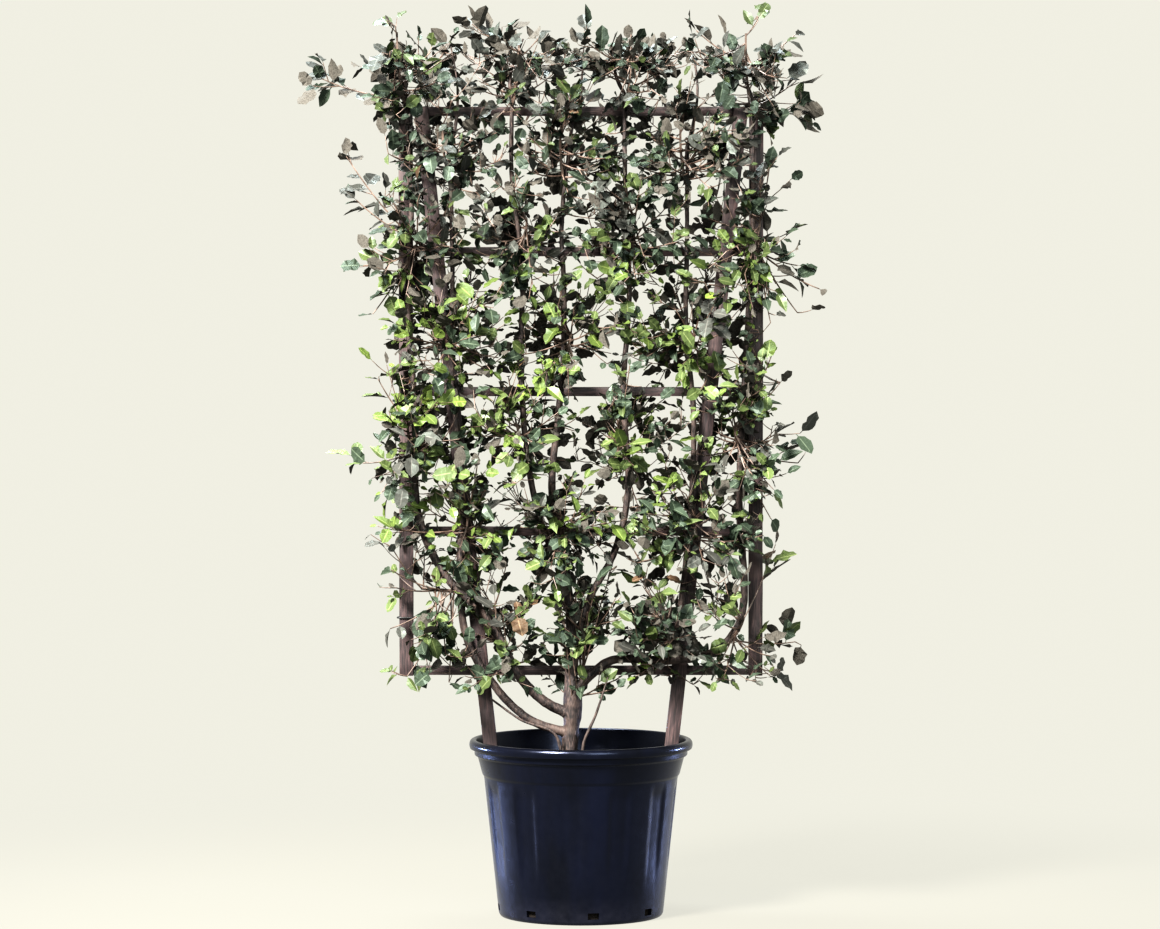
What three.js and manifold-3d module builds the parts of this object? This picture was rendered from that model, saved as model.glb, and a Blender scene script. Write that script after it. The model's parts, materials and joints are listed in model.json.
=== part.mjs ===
// A silverberry trained flat as an espalier on a lath trellis, standing in a fluted nursery pot.
// Millimetres, +Z up, +X to the right and -Y towards the viewer. The origin is the centre of the
// flat underside of the pot, on which the whole plant stands.
import * as THREE from "three";
import { mergeVertices } from "three/addons/utils/BufferGeometryUtils.js";
import Module from "manifold-3d";

const wasm = await Module();
wasm.setup();

const { Vector2, Vector3 } = THREE;
const { clamp, lerp, smoothstep, degToRad } = THREE.MathUtils;

// The clearance between neighbouring pieces, and how much a limb's cutter is thicker than the limb,
// which leaves that clearance on its faceted sides.
const gap = 0.3;
const cutterGrowth = 0.4;

// The pot: outer radii up its side, and heights above the underside.
const pot = {
  height: 355,
  footRadius: 158,
  lowerRadius: 163,
  lowerHeight: 9,
  bodyTopRadius: 195,
  ledgeHeight: 281,
  collarFootRadius: 198.5,
  collarTopRadius: 208,
  collarTopHeight: 322,
  bandRadius: 214,
  bandTopHeight: 335,
  lipRadius: 225,
  lipInnerRadius: 211,
  floor: 4,
  collarWall: 3.2,
  bodyWall: 6.6,
  step: 5,
  easing: 2,
  lipShoulder: 9,
  lipRound: 4,
};
// Twelve shallow flutes, each pressed in between its four edge lines and running out at both ends.
const flute = {
  count: 12,
  firstAngle: -6,
  edgeAngles: [-8, -5, 5, 8],
  edgeDepths: [0, 4, 4, 0],
  bottom: 66,
  top: 262,
  runOut: 16,
};
const drain = { count: 8, firstAngle: 8.5, width: 22, height: 13, sill: 12, cut: 40 };

const soil = { height: 296, wallGap: 1.8, sides: 20 };
const groundHeight = soil.height + gap;

// The trellis: five rails nailed behind four uprights, of which the inner two are legs in the soil.
const trellis = {
  rails: 5,
  firstRailHeight: 490,
  railPitch: 281,
  railWidth: 18,
  railLength: 730,
  lathWidth: 28,
  lathThickness: 16,
  front: 12,
  outerReach: 351,
  legReachAtRim: 184,
  legSlope: 0.108,
  legFoot: 262,
  legPoint: 40,
};
trellis.top = trellis.firstRailHeight + (trellis.rails - 1) * trellis.railPitch + trellis.railWidth / 2;
trellis.bottom = trellis.firstRailHeight - trellis.railWidth / 2;

// The trunk: [across, forward, height] up its middle and the radius there, from the flare in the
// ground, over the knot where the low boughs leave, to the fork.
const trunkStations = [
  { at: [-32, -24, 270], radius: 30 },
  { at: [-29, -24, 298], radius: 25 },
  { at: [-25, -24, 322], radius: 16.5 },
  { at: [-20, -24, 376], radius: 14.5 },
  { at: [-16, -24, 430], radius: 18.5 },
  { at: [-19, -24, 478], radius: 12.5 },
  { at: [-18, -22, 560], radius: 11 },
  { at: [-26, -18, 650], radius: 10 },
  { at: [-46, -12, 735], radius: 8.5 },
];

// The boughs. Each leaves its parent at a share of the parent's length, swings out over its bends and
// then climbs to its tip, with a slight sway on the way. The column numbers them from left to right.
// One that bends round a wide gap is two pieces, and they meet at the bend, at a height of their own.
const boughs = [
  {
    name: "bough_left",
    column: 1,
    parent: "trunk",
    share: 0.21,
    bends: [[-92, -28, 391], [-138, -24, 424], [-178, -16, 470], [-226, -8, 548], [-242, -6, 650]],
    tip: [-262, -6, 1530],
    radii: [8.5, 4],
    splitHeight: 560,
  },
  {
    name: "bough_far_left",
    column: 0,
    parent: "trunk",
    share: 0.29,
    bends: [[-74, -34, 434], [-126, -38, 488], [-182, -38, 596], [-272, -34, 688], [-326, -22, 810]],
    tip: [-352, -8, 1640],
    radii: [10, 4],
    splitHeight: 740,
  },
  {
    name: "bough_far_right",
    column: 6,
    parent: "trunk",
    share: 0.38,
    bends: [[22, -26, 488], [62, -20, 515], [176, -14, 515], [256, -10, 526], [318, -8, 590]],
    tip: [342, -6, 1636],
    radii: [9, 4],
    splitHeight: 548,
  },
  {
    name: "bough_mid_right",
    column: 4,
    parent: "trunk",
    share: 0.55,
    bends: [[18, -14, 640], [66, -10, 730], [94, -8, 850]],
    tip: [86, -6, 1650],
    radii: [7.5, 4],
  },
  {
    name: "bough_mid_left",
    column: 2,
    parent: "trunk",
    share: 0.9,
    bends: [[-74, -12, 774], [-95, -10, 850], [-112, -8, 960]],
    tip: [-138, -6, 1644],
    radii: [7, 4],
  },
  {
    name: "bough_centre",
    column: 3,
    parent: "trunk",
    share: 0.98,
    bends: [[-54, -9, 790], [-58, -8, 880], [-46, -7, 1000]],
    tip: [-26, -6, 1520],
    radii: [8, 4],
  },
  {
    name: "bough_right",
    column: 5,
    parent: "bough_far_right",
    share: 0.15,
    bends: [[192, -8, 580], [208, -8, 690], [220, -7, 820]],
    tip: [212, -6, 1540],
    radii: [6.5, 4],
  },
];
const climb = { points: 3, sway: 8, turn: 2.1 };

// Two thin bare shoots that rise from the soil beside the trunk.
const shoots = [
  { name: "shoot_left", points: [[-40, -58, 270], [-42, -58, 345], [-56, -58, 374], [-118, -56, 398], [-182, -52, 442]] },
  { name: "shoot_right", points: [[2, -56, 270], [5, -56, 350], [29, -56, 408], [54, -54, 484]] },
];
const shootRadii = [4, 1.8];

// The foliage. Each mass has a heart, and its space is all that lies nearer to its own heart than to
// any other, seen from the front, with heights counted at less than their length. The hearts stand on
// every other bough in one band and on the boughs between them in the next.
const crown = {
  firstBand: 785,
  bandPitch: 190,
  bands: 6,
  heightScale: 0.8,
  left: -412,
  right: 408,
  bottom: 470,
  top: 1806,
  lowest: 446,
  highest: 1836,
  front: -160,
  back: 140,
  fringe: 60,
};
// The lowest masses hang on whichever limb passes there.
const lowMasses = [
  { name: "foliage_low_far_left", limb: "bough_far_left", heart: [-306, 622] },
  { name: "foliage_low_left", limb: "bough_far_left", heart: [-160, 592] },
  { name: "foliage_low_centre", limb: "trunk", heart: [0, 580] },
  { name: "foliage_low_right", limb: "bough_right", heart: [158, 572] },
  { name: "foliage_low_far_right", limb: "bough_far_right", heart: [312, 572] },
];

// The sprays that stand out furthest round the crown, by their tips: [across, height].
const sprayTips = [
  [-392, 466], [-410, 745], [-474, 908], [-448, 1086], [-462, 1200], [-472, 1308], [-486, 1440],
  [-512, 1536], [-560, 1686], [-372, 1822], [-226, 1830], [-176, 1788], [-84, 1800], [0, 1796],
  [110, 1764], [232, 1812], [356, 1832], [436, 1808], [478, 1690], [496, 1614], [418, 1370],
  [470, 1308], [520, 1258], [498, 1180], [438, 1070], [436, 975], [488, 908], [428, 740], [486, 545],
];

// One leaf: a kite-shaped blade over a keel, thickest at the middle of the midrib. There are fewer
// than on the plant, so they are larger than life.
const leaf = { length: 96, width: 62, thickness: 4, widestAt: 0.45, sunk: 0.8 };

// How a mass grows from its limb: first a stem, from a part of the stretch of limb that the mass
// holds, out to the front and up to the mass's heart.
const stemGrowth = {
  radii: [5, 4.4],
  steps: 3,
  from: [0.1, 0.6],
  margin: 5,
  forward: 34,
  tipAside: 14,
  tipRise: 50,
  bend: { across: 0.4, aside: 10, forward: 0.8, up: 0.35 },
  tries: 60,
};
// Then twigs, from places on the stem to well-spread tips before and behind the trellis.
const twigGrowth = {
  radii: [2.3, 2],
  steps: 1,
  count: 6,
  shares: [0.96, 0.85, 0.74, 0.63, 0.52, 0.41, 0.3],
  rise: 30,
  slope: 0.35,
  candidates: 12,
  search: 190,
  tipMargin: 14,
  inset: { sides: 40, bottom: 20, top: 40 },
  frontDepths: [-130, -24],
  backDepths: [62, 110],
  backShare: 0.42,
  sprayDepths: [-60, 40],
  sprayLean: 0.15,
  sprayReach: 0.9,
  tries: 160,
};
// Then leaves, alternating round the outer part of each twig. A leaf that finds no room is turned
// further for each try, and the leaf at the tip is also spread further.
const leafGrowth = {
  spacing: 37,
  least: 3,
  most: 4,
  bareShare: 0.38,
  tipSpread: 10,
  tipSpreadStep: 7,
  spread: 58,
  spreadStep: 12,
  spreadSteps: 3,
  facing: 0.7,
  facingUp: [0.5, 1],
  tiltToTip: 0.7,
  behind: 20,
  tries: 18,
};
const twigSides = 3;
const spaceMargin = 0.6;
const goldenAngle = 137.5;
const limbSides = { trunk: 10, bough: 6, shoot: 5 };
const limbSteps = { trunk: 14, bough: 12, shoot: 5 };

// A small seeded generator, so that the plant grows the same way each time.
function seeded(seed) {
  let state = Math.imul(seed, 2654435761) >>> 0;
  return () => {
    state = (Math.imul(state, 1664525) + 1013904223) >>> 0;
    return state / 4294967296;
  };
}

// A closed three.js geometry as a solid that can be joined and cut.
function solidFrom(geometry) {
  const bare = geometry.clone();
  bare.deleteAttribute("normal");
  bare.deleteAttribute("uv");
  const merged = mergeVertices(bare, 1e-4);
  const mesh = new wasm.Mesh({
    numProp: 3,
    vertProperties: merged.attributes.position.array,
    triVerts: new Uint32Array(merged.index.array),
  });
  return new wasm.Manifold(mesh);
}

// The largest body of a solid, without loose scraps and with its sealed hollows filled.
function largestBody(solid) {
  return solid.decompose().sort((a, b) => b.volume() - a.volume())[0];
}

function geometryFrom(solid) {
  const mesh = largestBody(solid).getMesh();
  const geometry = new THREE.BufferGeometry();
  geometry.setAttribute("position", new THREE.BufferAttribute(mesh.vertProperties, 3));
  geometry.setIndex(new THREE.BufferAttribute(mesh.triVerts, 1));
  return geometry;
}

const finishes = {
  pot: new THREE.MeshStandardMaterial({ color: 0x1b1f38, roughness: 0.38, metalness: 0 }),
  soil: new THREE.MeshStandardMaterial({ color: 0x33261c, roughness: 0.95, metalness: 0 }),
  lath: new THREE.MeshStandardMaterial({ color: 0x5a3b34, roughness: 0.8, metalness: 0 }),
  bark: new THREE.MeshStandardMaterial({ color: 0x6e5a4c, roughness: 0.85, metalness: 0 }),
  foliage: new THREE.MeshStandardMaterial({ color: 0x39592f, roughness: 0.5, metalness: 0 }),
};

const plant = new THREE.Group();

function addPiece(name, geometry, finish) {
  const mesh = new THREE.Mesh(geometry, finishes[finish]);
  mesh.name = name;
  plant.add(mesh);
}

// The outer radius of the pot's plain wall at a height on its tapering body.
function bodyRadius(height) {
  const share = (height - pot.lowerHeight) / (pot.ledgeHeight - pot.lowerHeight);
  return lerp(pot.lowerRadius, pot.bodyTopRadius, share);
}

// A turned body whose upright lines fall on the edges of the flutes. The pressedIn function says how
// far in each point is moved.
function turned(profile, pressedIn) {
  const segments = flute.count * flute.edgeAngles.length;
  const points = profile.map(([radius, height]) => new Vector2(radius, height));
  const geometry = new THREE.LatheGeometry(points, segments);
  const position = geometry.attributes.position;
  for (let i = 0; i < position.count; i += 1) {
    const line = Math.floor(i / points.length) % segments;
    const [radius, height] = profile[i % points.length];
    const edge = line % flute.edgeAngles.length;
    const turn = Math.floor(line / flute.edgeAngles.length) * (360 / flute.count);
    const azimuth = degToRad(flute.firstAngle + turn + flute.edgeAngles[edge]);
    const kept = radius - pressedIn(radius, height, edge);
    position.setXYZ(i, kept * Math.sin(azimuth), -kept * Math.cos(azimuth), height);
  }
  return geometry;
}

function potSolid() {
  const innerTop = pot.bodyTopRadius - pot.bodyWall;
  const innerFoot = bodyRadius(pot.floor) - pot.bodyWall;
  const fluteHeights = [flute.bottom - flute.runOut, flute.bottom, flute.top, flute.top + flute.runOut];
  const profile = [
    [0, 0],
    [pot.footRadius, 0],
    [pot.lowerRadius, pot.lowerHeight],
    ...fluteHeights.map((height) => [bodyRadius(height), height]),
    [pot.bodyTopRadius, pot.ledgeHeight],
    [pot.collarFootRadius, pot.ledgeHeight + pot.step],
    [pot.collarTopRadius, pot.collarTopHeight],
    [pot.bandRadius, pot.collarTopHeight + pot.easing],
    [pot.bandRadius, pot.bandTopHeight],
    [pot.lipRadius - pot.easing, pot.bandTopHeight + pot.easing],
    [pot.lipRadius, pot.height - pot.lipShoulder],
    [pot.lipRadius - pot.lipRound, pot.height],
    [pot.lipInnerRadius, pot.height],
    [pot.collarTopRadius - pot.collarWall, pot.collarTopHeight],
    [pot.collarFootRadius - pot.collarWall, pot.ledgeHeight + pot.step],
    [innerTop, pot.ledgeHeight],
    [innerFoot, pot.floor],
    [0, pot.floor],
  ];
  const pressedIn = (radius, height, edge) => {
    const onWall = Math.abs(radius - bodyRadius(height)) < 0.01;
    const inFlute = height >= flute.bottom && height <= flute.top;
    return onWall && inFlute ? flute.edgeDepths[edge] : 0;
  };
  let solid = solidFrom(turned(profile, pressedIn));
  for (let i = 0; i < drain.count; i += 1) {
    const cutter = new THREE.BoxGeometry(drain.width, drain.cut, drain.height);
    cutter.translate(0, -pot.lowerRadius, drain.sill + drain.height / 2);
    cutter.rotateZ(degToRad(drain.firstAngle + (360 / drain.count) * i));
    solid = solid.subtract(solidFrom(cutter));
  }
  return solid;
}

function soilSolid() {
  const innerFoot = bodyRadius(pot.floor) - pot.bodyWall - soil.wallGap;
  const innerTop = pot.bodyTopRadius - pot.bodyWall - soil.wallGap;
  const collar = pot.collarFootRadius - pot.collarWall - soil.wallGap;
  const profile = [
    [0, pot.floor + gap],
    [innerFoot, pot.floor + gap],
    [innerTop, pot.ledgeHeight],
    [collar, pot.ledgeHeight + pot.step + pot.easing],
    [collar, soil.height],
    [0, soil.height],
  ];
  const points = profile.map(([radius, height]) => new Vector2(radius, height));
  const geometry = new THREE.LatheGeometry(points, soil.sides);
  geometry.rotateX(Math.PI / 2);
  let solid = solidFrom(geometry);
  for (const side of [-1, 1]) solid = solid.subtract(solidFrom(legGeometry(side, gap)));
  return solid;
}

// An inner upright: a lath sharpened to a point in the soil, which leans out as it rises. Side is -1
// or 1.
function legGeometry(side, grown = 0) {
  const lean = Math.atan(trellis.legSlope);
  const half = trellis.lathWidth / 2 + grown;
  const foot = (trellis.legFoot - pot.height) / Math.cos(lean) - grown;
  const top = (trellis.top - pot.height) / Math.cos(lean) + grown;
  const outline = new THREE.Shape();
  outline.moveTo(0, foot);
  outline.lineTo(half, foot + trellis.legPoint);
  outline.lineTo(half, top);
  outline.lineTo(-half, top);
  outline.lineTo(-half, foot + trellis.legPoint);
  const depth = trellis.lathThickness + 2 * grown;
  const geometry = new THREE.ExtrudeGeometry(outline, { depth, bevelEnabled: false });
  geometry.rotateX(Math.PI / 2);
  geometry.rotateY(side * lean);
  const back = trellis.front + trellis.lathThickness + grown;
  geometry.translate(side * trellis.legReachAtRim, back, pot.height);
  return geometry;
}

function outerUprightGeometry(side, grown = 0) {
  const length = trellis.top - trellis.bottom;
  const geometry = new THREE.BoxGeometry(
    trellis.lathWidth + 2 * grown,
    trellis.lathThickness + 2 * grown,
    length + 2 * grown,
  );
  geometry.translate(
    side * trellis.outerReach,
    trellis.front + trellis.lathThickness / 2,
    trellis.bottom + length / 2,
  );
  return geometry;
}

function railGeometry(index, grown = 0) {
  const geometry = new THREE.BoxGeometry(
    trellis.railLength + 2 * grown,
    trellis.lathThickness + 2 * grown,
    trellis.railWidth + 2 * grown,
  );
  geometry.translate(
    0,
    trellis.front + 1.5 * trellis.lathThickness + gap,
    trellis.firstRailHeight + index * trellis.railPitch,
  );
  return geometry;
}

// Solids that twigs and leaves have to stay clear of, each already grown by its clearance.
const obstacles = [];

const withBox = (solid) => ({ solid, box: solid.boundingBox() });

function keepClearOf(solid) {
  obstacles.push(withBox(solid));
}

function boxesMeet(a, b) {
  return [0, 1, 2].every((axis) => a.min[axis] <= b.max[axis] && b.min[axis] <= a.max[axis]);
}

function touches(solid, others) {
  const box = solid.boundingBox();
  return others.some((other) => boxesMeet(box, other.box) && !solid.intersect(other.solid).isEmpty());
}

// A limb along a route: a cylinder whose rings stand square to the route, each at its own radius.
function limbGeometry(route, radiusAt, sides, steps, grown = 0) {
  const geometry = new THREE.CylinderGeometry(1, 1, 1, sides, steps);
  const frames = route.computeFrenetFrames(steps);
  const position = geometry.attributes.position;
  for (let i = 0; i < position.count; i += 1) {
    const share = position.getY(i) + 0.5;
    const ring = Math.round(share * steps);
    const radius = radiusAt(share) + grown;
    const point = route.getPointAt(share);
    point.addScaledVector(frames.normals[ring], position.getX(i) * radius);
    point.addScaledVector(frames.binormals[ring], -position.getZ(i) * radius);
    position.setXYZ(i, point.x, point.y, point.z);
  }
  return geometry;
}

const smoothRoute = (points) =>
  new THREE.CatmullRomCurve3(points.map((at) => new Vector3(...at)), false, "centripetal");
const taper = ([foot, tip]) => (share) => lerp(foot, tip, share);

// Everything below the surface of the soil, to be cut off what grows from it.
function belowGround() {
  const block = new THREE.BoxGeometry(2 * pot.lipRadius, 2 * pot.lipRadius, groundHeight);
  block.translate(0, 0, groundHeight / 2);
  return solidFrom(block);
}

// The middle line of a faceted limb: straight from the centre of each ring to the next.
function axisOf(route, steps) {
  const rings = route.getSpacedPoints(steps);
  return (share) => {
    const ring = Math.min(Math.floor(share * steps), steps - 1);
    return rings[ring].clone().lerp(rings[ring + 1], share * steps - ring);
  };
}

// Evenly spaced shares of a limb's length, at which it is searched.
const limbSamples = 240;
const limbShares = Array.from({ length: limbSamples + 1 }, (_, i) => i / limbSamples);

// The share of a limb's length up to the last place that isn't above a height.
function shareAtHeight(axisAt, height) {
  return limbShares.findLast((share) => axisAt(share).z <= height) ?? 0;
}

const limbs = new Map();

// Makes a limb, cuts it back from the soil and from the limbs made before, and keeps its axis and
// the grown copy that later pieces stay clear of.
function addLimb(name, kind, route, radiusAt, splitHeight = null) {
  const size = [limbSides[kind], limbSteps[kind]];
  let solid = solidFrom(limbGeometry(route, radiusAt, ...size)).subtract(belowGround());
  for (const limb of limbs.values()) solid = solid.subtract(limb.cutter);
  const cutter = solidFrom(limbGeometry(route, radiusAt, ...size, cutterGrowth));
  const axisAt = axisOf(route, limbSteps[kind]);
  limbs.set(name, { axisAt, cutter });
  keepClearOf(cutter);
  if (splitHeight === null) {
    addPiece(name, geometryFrom(solid), "bark");
    return;
  }
  const share = shareAtHeight(axisAt, splitHeight);
  const along = route.getTangentAt(share);
  const place = along.dot(axisAt(share));
  const arm = solid.trimByPlane(along.clone().negate().toArray(), gap / 2 - place);
  addPiece(`${name}_arm`, geometryFrom(arm), "bark");
  addPiece(name, geometryFrom(solid.trimByPlane(along.toArray(), gap / 2 + place)), "bark");
}

function addTrunk() {
  const route = smoothRoute(trunkStations.map((station) => station.at));
  const heights = trunkStations.map((station) => station.at[2]);
  const radiusAt = (share) => {
    const height = clamp(route.getPointAt(share).z, heights[0], heights.at(-1));
    const above = Math.max(1, heights.findIndex((level) => level >= height));
    const [low, high] = [trunkStations[above - 1], trunkStations[above]];
    return lerp(low.radius, high.radius, smoothstep(height, low.at[2], high.at[2]));
  };
  addLimb("trunk", "trunk", route, radiusAt);
}

function addBough(bough, index) {
  const foot = limbs.get(bough.parent).axisAt(bough.share).toArray();
  const points = [foot, ...bough.bends];
  const [fromX, fromY, fromZ] = bough.bends.at(-1);
  const [toX, toY, toZ] = bough.tip;
  for (let i = 1; i <= climb.points; i += 1) {
    const share = i / (climb.points + 1);
    const sway = climb.sway * Math.sin(climb.turn * i + index);
    points.push([lerp(fromX, toX, share) + sway, lerp(fromY, toY, share), lerp(fromZ, toZ, share)]);
  }
  points.push(bough.tip);
  addLimb(bough.name, "bough", smoothRoute(points), taper(bough.radii), bough.splitHeight);
}

// All the masses with their hearts: the low ones, then those of each band up the boughs.
function foliageMasses() {
  const masses = lowMasses.map((low) => ({ ...low, heart: new Vector2(...low.heart) }));
  for (let band = 0; band < crown.bands; band += 1) {
    const height = crown.firstBand + band * crown.bandPitch;
    for (const bough of boughs.filter(({ column }) => column % 2 !== band % 2)) {
      const { axisAt } = limbs.get(bough.name);
      const { x } = axisAt(shareAtHeight(axisAt, Math.min(height, bough.tip[2])));
      const name = `${bough.name.replace("bough", "foliage")}_${band + 1}`;
      masses.push({ name, limb: bough.name, heart: new Vector2(x, height) });
    }
  }
  return masses;
}

// How far a point lies inside a mass's own space, measured from the nearest wall to a neighbour.
function depthInSpace(mass, masses, point) {
  let depth = Infinity;
  for (const other of masses) {
    if (other === mass) continue;
    const acrossHearts = other.heart.x - mass.heart.x;
    const upHearts = (other.heart.y - mass.heart.y) * crown.heightScale;
    const across = point.x - (other.heart.x + mass.heart.x) / 2;
    const up = (point.z - (other.heart.y + mass.heart.y) / 2) * crown.heightScale;
    const past = (across * acrossHearts + up * upHearts) / Math.hypot(acrossHearts, upHearts);
    depth = Math.min(depth, -past);
  }
  return depth;
}

function cornersOf(geometry) {
  const { position } = geometry.attributes;
  const corner = (_, i) => new Vector3().fromBufferAttribute(position, i);
  return Array.from({ length: position.count }, corner);
}

// One leaf whose root is at a point: it runs along a direction and faces a normal.
function leafGeometry(root, direction, facing) {
  const across = new Vector3().crossVectors(facing, direction).normalize();
  const up = new Vector3().crossVectors(direction, across).normalize();
  const widest = leaf.length * leaf.widestAt;
  const corners = [
    [-leaf.sunk, 0, 0],
    [widest, leaf.width / 2, leaf.thickness],
    [leaf.length, 0, 0],
    [widest, -leaf.width / 2, leaf.thickness],
  ];
  const positions = corners.flatMap(([along, sideways, raised]) => {
    const corner = root.clone().addScaledVector(direction, along);
    return corner.addScaledVector(across, sideways).addScaledVector(up, raised).toArray();
  });
  const geometry = new THREE.BufferGeometry();
  geometry.setAttribute("position", new THREE.BufferAttribute(new Float32Array(positions), 3));
  geometry.setIndex([0, 3, 1, 1, 3, 2, 0, 1, 2, 0, 2, 3]);
  return geometry;
}

// Grows one mass: a stem from its limb, twigs to tips spread through its space, leaves on the twigs.
function growMass(mass, masses, seed) {
  const random = seeded(seed);
  const inside = (geometry) =>
    cornersOf(geometry).every(
      (corner) =>
        corner.y > crown.front &&
        corner.y < crown.back &&
        corner.z > crown.lowest &&
        corner.z < crown.highest &&
        depthInSpace(mass, masses, corner) > spaceMargin,
    );
  const { stem, stemSolid } = stemOf(mass, masses, random);
  const wood = [withBox(stemSolid)];
  const twigs = [];
  const reached = [stem.getPointAt(1)];
  const tips = sprayTips.filter(([x, z]) => depthInSpace(mass, masses, new Vector3(x, 0, z)) > 0);
  let freeShares = twigGrowth.shares;
  for (let attempt = 0; attempt < twigGrowth.tries && twigs.length < twigGrowth.count; attempt += 1) {
    const spray = tips[attempt];
    const target = spray ? sprayTarget(spray, random) : openTarget(mass, masses, reached, random);
    const { share, twig } = twigTo(target, stem, freeShares);
    const geometry = limbGeometry(twig, taper(twigGrowth.radii), twigSides, twigGrowth.steps);
    const twigSolid = solidFrom(geometry);
    if (!inside(geometry) || touches(twigSolid, [...obstacles, ...wood.slice(1)])) continue;
    reached.push(target);
    twigs.push(twig);
    freeShares = freeShares.filter((at) => at !== share);
    wood.push(withBox(twigSolid));
  }
  const leaves = [];
  twigs.forEach((twig, index) => {
    const otherWood = wood.filter((_, place) => place !== index + 1);
    leaves.push(...leavesOn(twig, inside, [...obstacles, ...leaves, ...otherWood], random));
  });
  return [...wood, ...leaves].map(({ solid }) => solid).reduce((joined, solid) => joined.add(solid));
}

// A mass's stem: from its limb, low in its space, out to the front and up. It is cut back from the
// limb, and tried from other places where it would touch a neighbour.
function stemOf(mass, masses, random) {
  const { axisAt, cutter } = limbs.get(mass.limb);
  const { radii, steps, from, margin, forward, tipAside, tipRise, bend, tries } = stemGrowth;
  const held = limbShares.filter((share) => depthInSpace(mass, masses, axisAt(share)) > margin);
  for (let attempt = 0; attempt < tries; attempt += 1) {
    const share = held.length ? held[Math.floor(held.length * lerp(...from, random()))] : 1;
    const foot = axisAt(share);
    const side = random() < 0.5 ? -1 : 1;
    const top = mass.heart.y + lerp(0, tipRise, random());
    const tip = new Vector3(mass.heart.x + side * tipAside, -forward, top);
    const elbow = new Vector3(
      lerp(foot.x, tip.x, bend.across) + side * bend.aside,
      -forward * bend.forward,
      lerp(foot.z, tip.z, bend.up),
    );
    const stem = new THREE.QuadraticBezierCurve3(foot, elbow, tip);
    const geometry = limbGeometry(stem, taper(radii), twigSides, steps);
    const stemSolid = largestBody(solidFrom(geometry).subtract(cutter));
    if (touches(stemSolid, obstacles.filter((other) => other.solid !== cutter))) continue;
    return { stem, stemSolid };
  }
  throw new Error(`no clear way for the stem of ${mass.name}`);
}

// Where the twig to an outstanding spray ends, from which its last leaf reaches the spray's tip.
// Sprays in the fringe at the top stand up, and the others lean out sideways.
function sprayTarget([x, z], random) {
  const middle = new Vector2((crown.left + crown.right) / 2, (crown.bottom + crown.top) / 2);
  const inward = new Vector2(middle.x - x, middle.y - z);
  if (z > crown.top - crown.fringe) inward.x *= twigGrowth.sprayLean;
  else inward.y *= twigGrowth.sprayLean;
  inward.setLength(leaf.length * twigGrowth.sprayReach);
  return new Vector3(x + inward.x, lerp(...twigGrowth.sprayDepths, random()), z + inward.y);
}

// The roomiest of a few random points in a mass's space, so that its twigs spread evenly through it.
function openTarget(mass, masses, reached, random) {
  const { candidates, search, inset, frontDepths, backDepths, backShare, tipMargin } = twigGrowth;
  let best = null;
  let room = -1;
  for (let i = 0; i < candidates; i += 1) {
    const depths = random() < backShare ? backDepths : frontDepths;
    const across = mass.heart.x + lerp(-search, search, random());
    const depth = lerp(...depths, random());
    const height = mass.heart.y + lerp(-search, search, random());
    const point = new Vector3(
      clamp(across, crown.left + inset.sides, crown.right - inset.sides),
      depth,
      clamp(height, crown.bottom + inset.bottom, crown.top - inset.top),
    );
    if (depthInSpace(mass, masses, point) < tipMargin) continue;
    const nearest = Math.min(...reached.map((tip) => Math.hypot(tip.x - point.x, tip.z - point.z)));
    if (nearest > room) {
      room = nearest;
      best = point;
    }
  }
  return best ?? new Vector3(mass.heart.x, twigGrowth.sprayDepths[0], mass.heart.y);
}

// A twig leaves the stem at a free place, below its target where it can, and runs straight to it.
function twigTo(target, stem, freeShares) {
  const across = Math.abs(target.x - stem.getPointAt(0.5).x);
  const highest = target.z - twigGrowth.slope * across - twigGrowth.rise;
  const share = freeShares.find((at) => stem.getPointAt(at).z < highest) ?? freeShares.at(-1);
  return { share, twig: new THREE.LineCurve3(stem.getPointAt(share), target) };
}

// The leaves of one twig: one at its tip, the others alternating round its outer part.
function leavesOn(twig, inside, others, random) {
  const room = Math.round(twig.getLength() / leafGrowth.spacing);
  const count = clamp(room, leafGrowth.least, leafGrowth.most);
  const kept = [];
  for (let i = 0; i < count; i += 1) {
    const share = lerp(1, leafGrowth.bareShare, i / count);
    const root = twig.getPointAt(share);
    const along = twig.getTangentAt(share);
    const start = random() * 360;
    for (let attempt = 0; attempt < leafGrowth.tries; attempt += 1) {
      const spread = i === 0 ? tipSpread(attempt) : sideSpread(attempt);
      const direction = turnedFrom(along, spread, start + goldenAngle * attempt);
      const outward = root.y > leafGrowth.behind ? leafGrowth.facing : -leafGrowth.facing;
      const facing = new Vector3(random() - 0.5, outward, lerp(...leafGrowth.facingUp, random()));
      facing.addScaledVector(along, leafGrowth.tiltToTip);
      const geometry = leafGeometry(root, direction, facing);
      if (!inside(geometry)) continue;
      const solid = solidFrom(geometry);
      if (touches(solid, others) || touches(solid, kept)) continue;
      kept.push(withBox(solid));
      break;
    }
  }
  return kept;
}

// How far a leaf is turned from its twig at each try, in degrees.
const tipSpread = (attempt) => leafGrowth.tipSpread + leafGrowth.tipSpreadStep * attempt;
const sideSpread = (attempt) =>
  leafGrowth.spread + leafGrowth.spreadStep * (attempt % leafGrowth.spreadSteps);

// A direction turned away from an axis by a spread, at an azimuth round it, both in degrees.
function turnedFrom(axis, spread, azimuth) {
  const side = new Vector3(0, 0, 1).cross(axis).normalize();
  const outward = side.applyAxisAngle(axis, degToRad(azimuth));
  const angle = degToRad(spread);
  return axis.clone().multiplyScalar(Math.cos(angle)).addScaledVector(outward, Math.sin(angle));
}

addPiece("pot", geometryFrom(potSolid()), "pot");
addPiece("soil", geometryFrom(soilSolid()), "soil");

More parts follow.
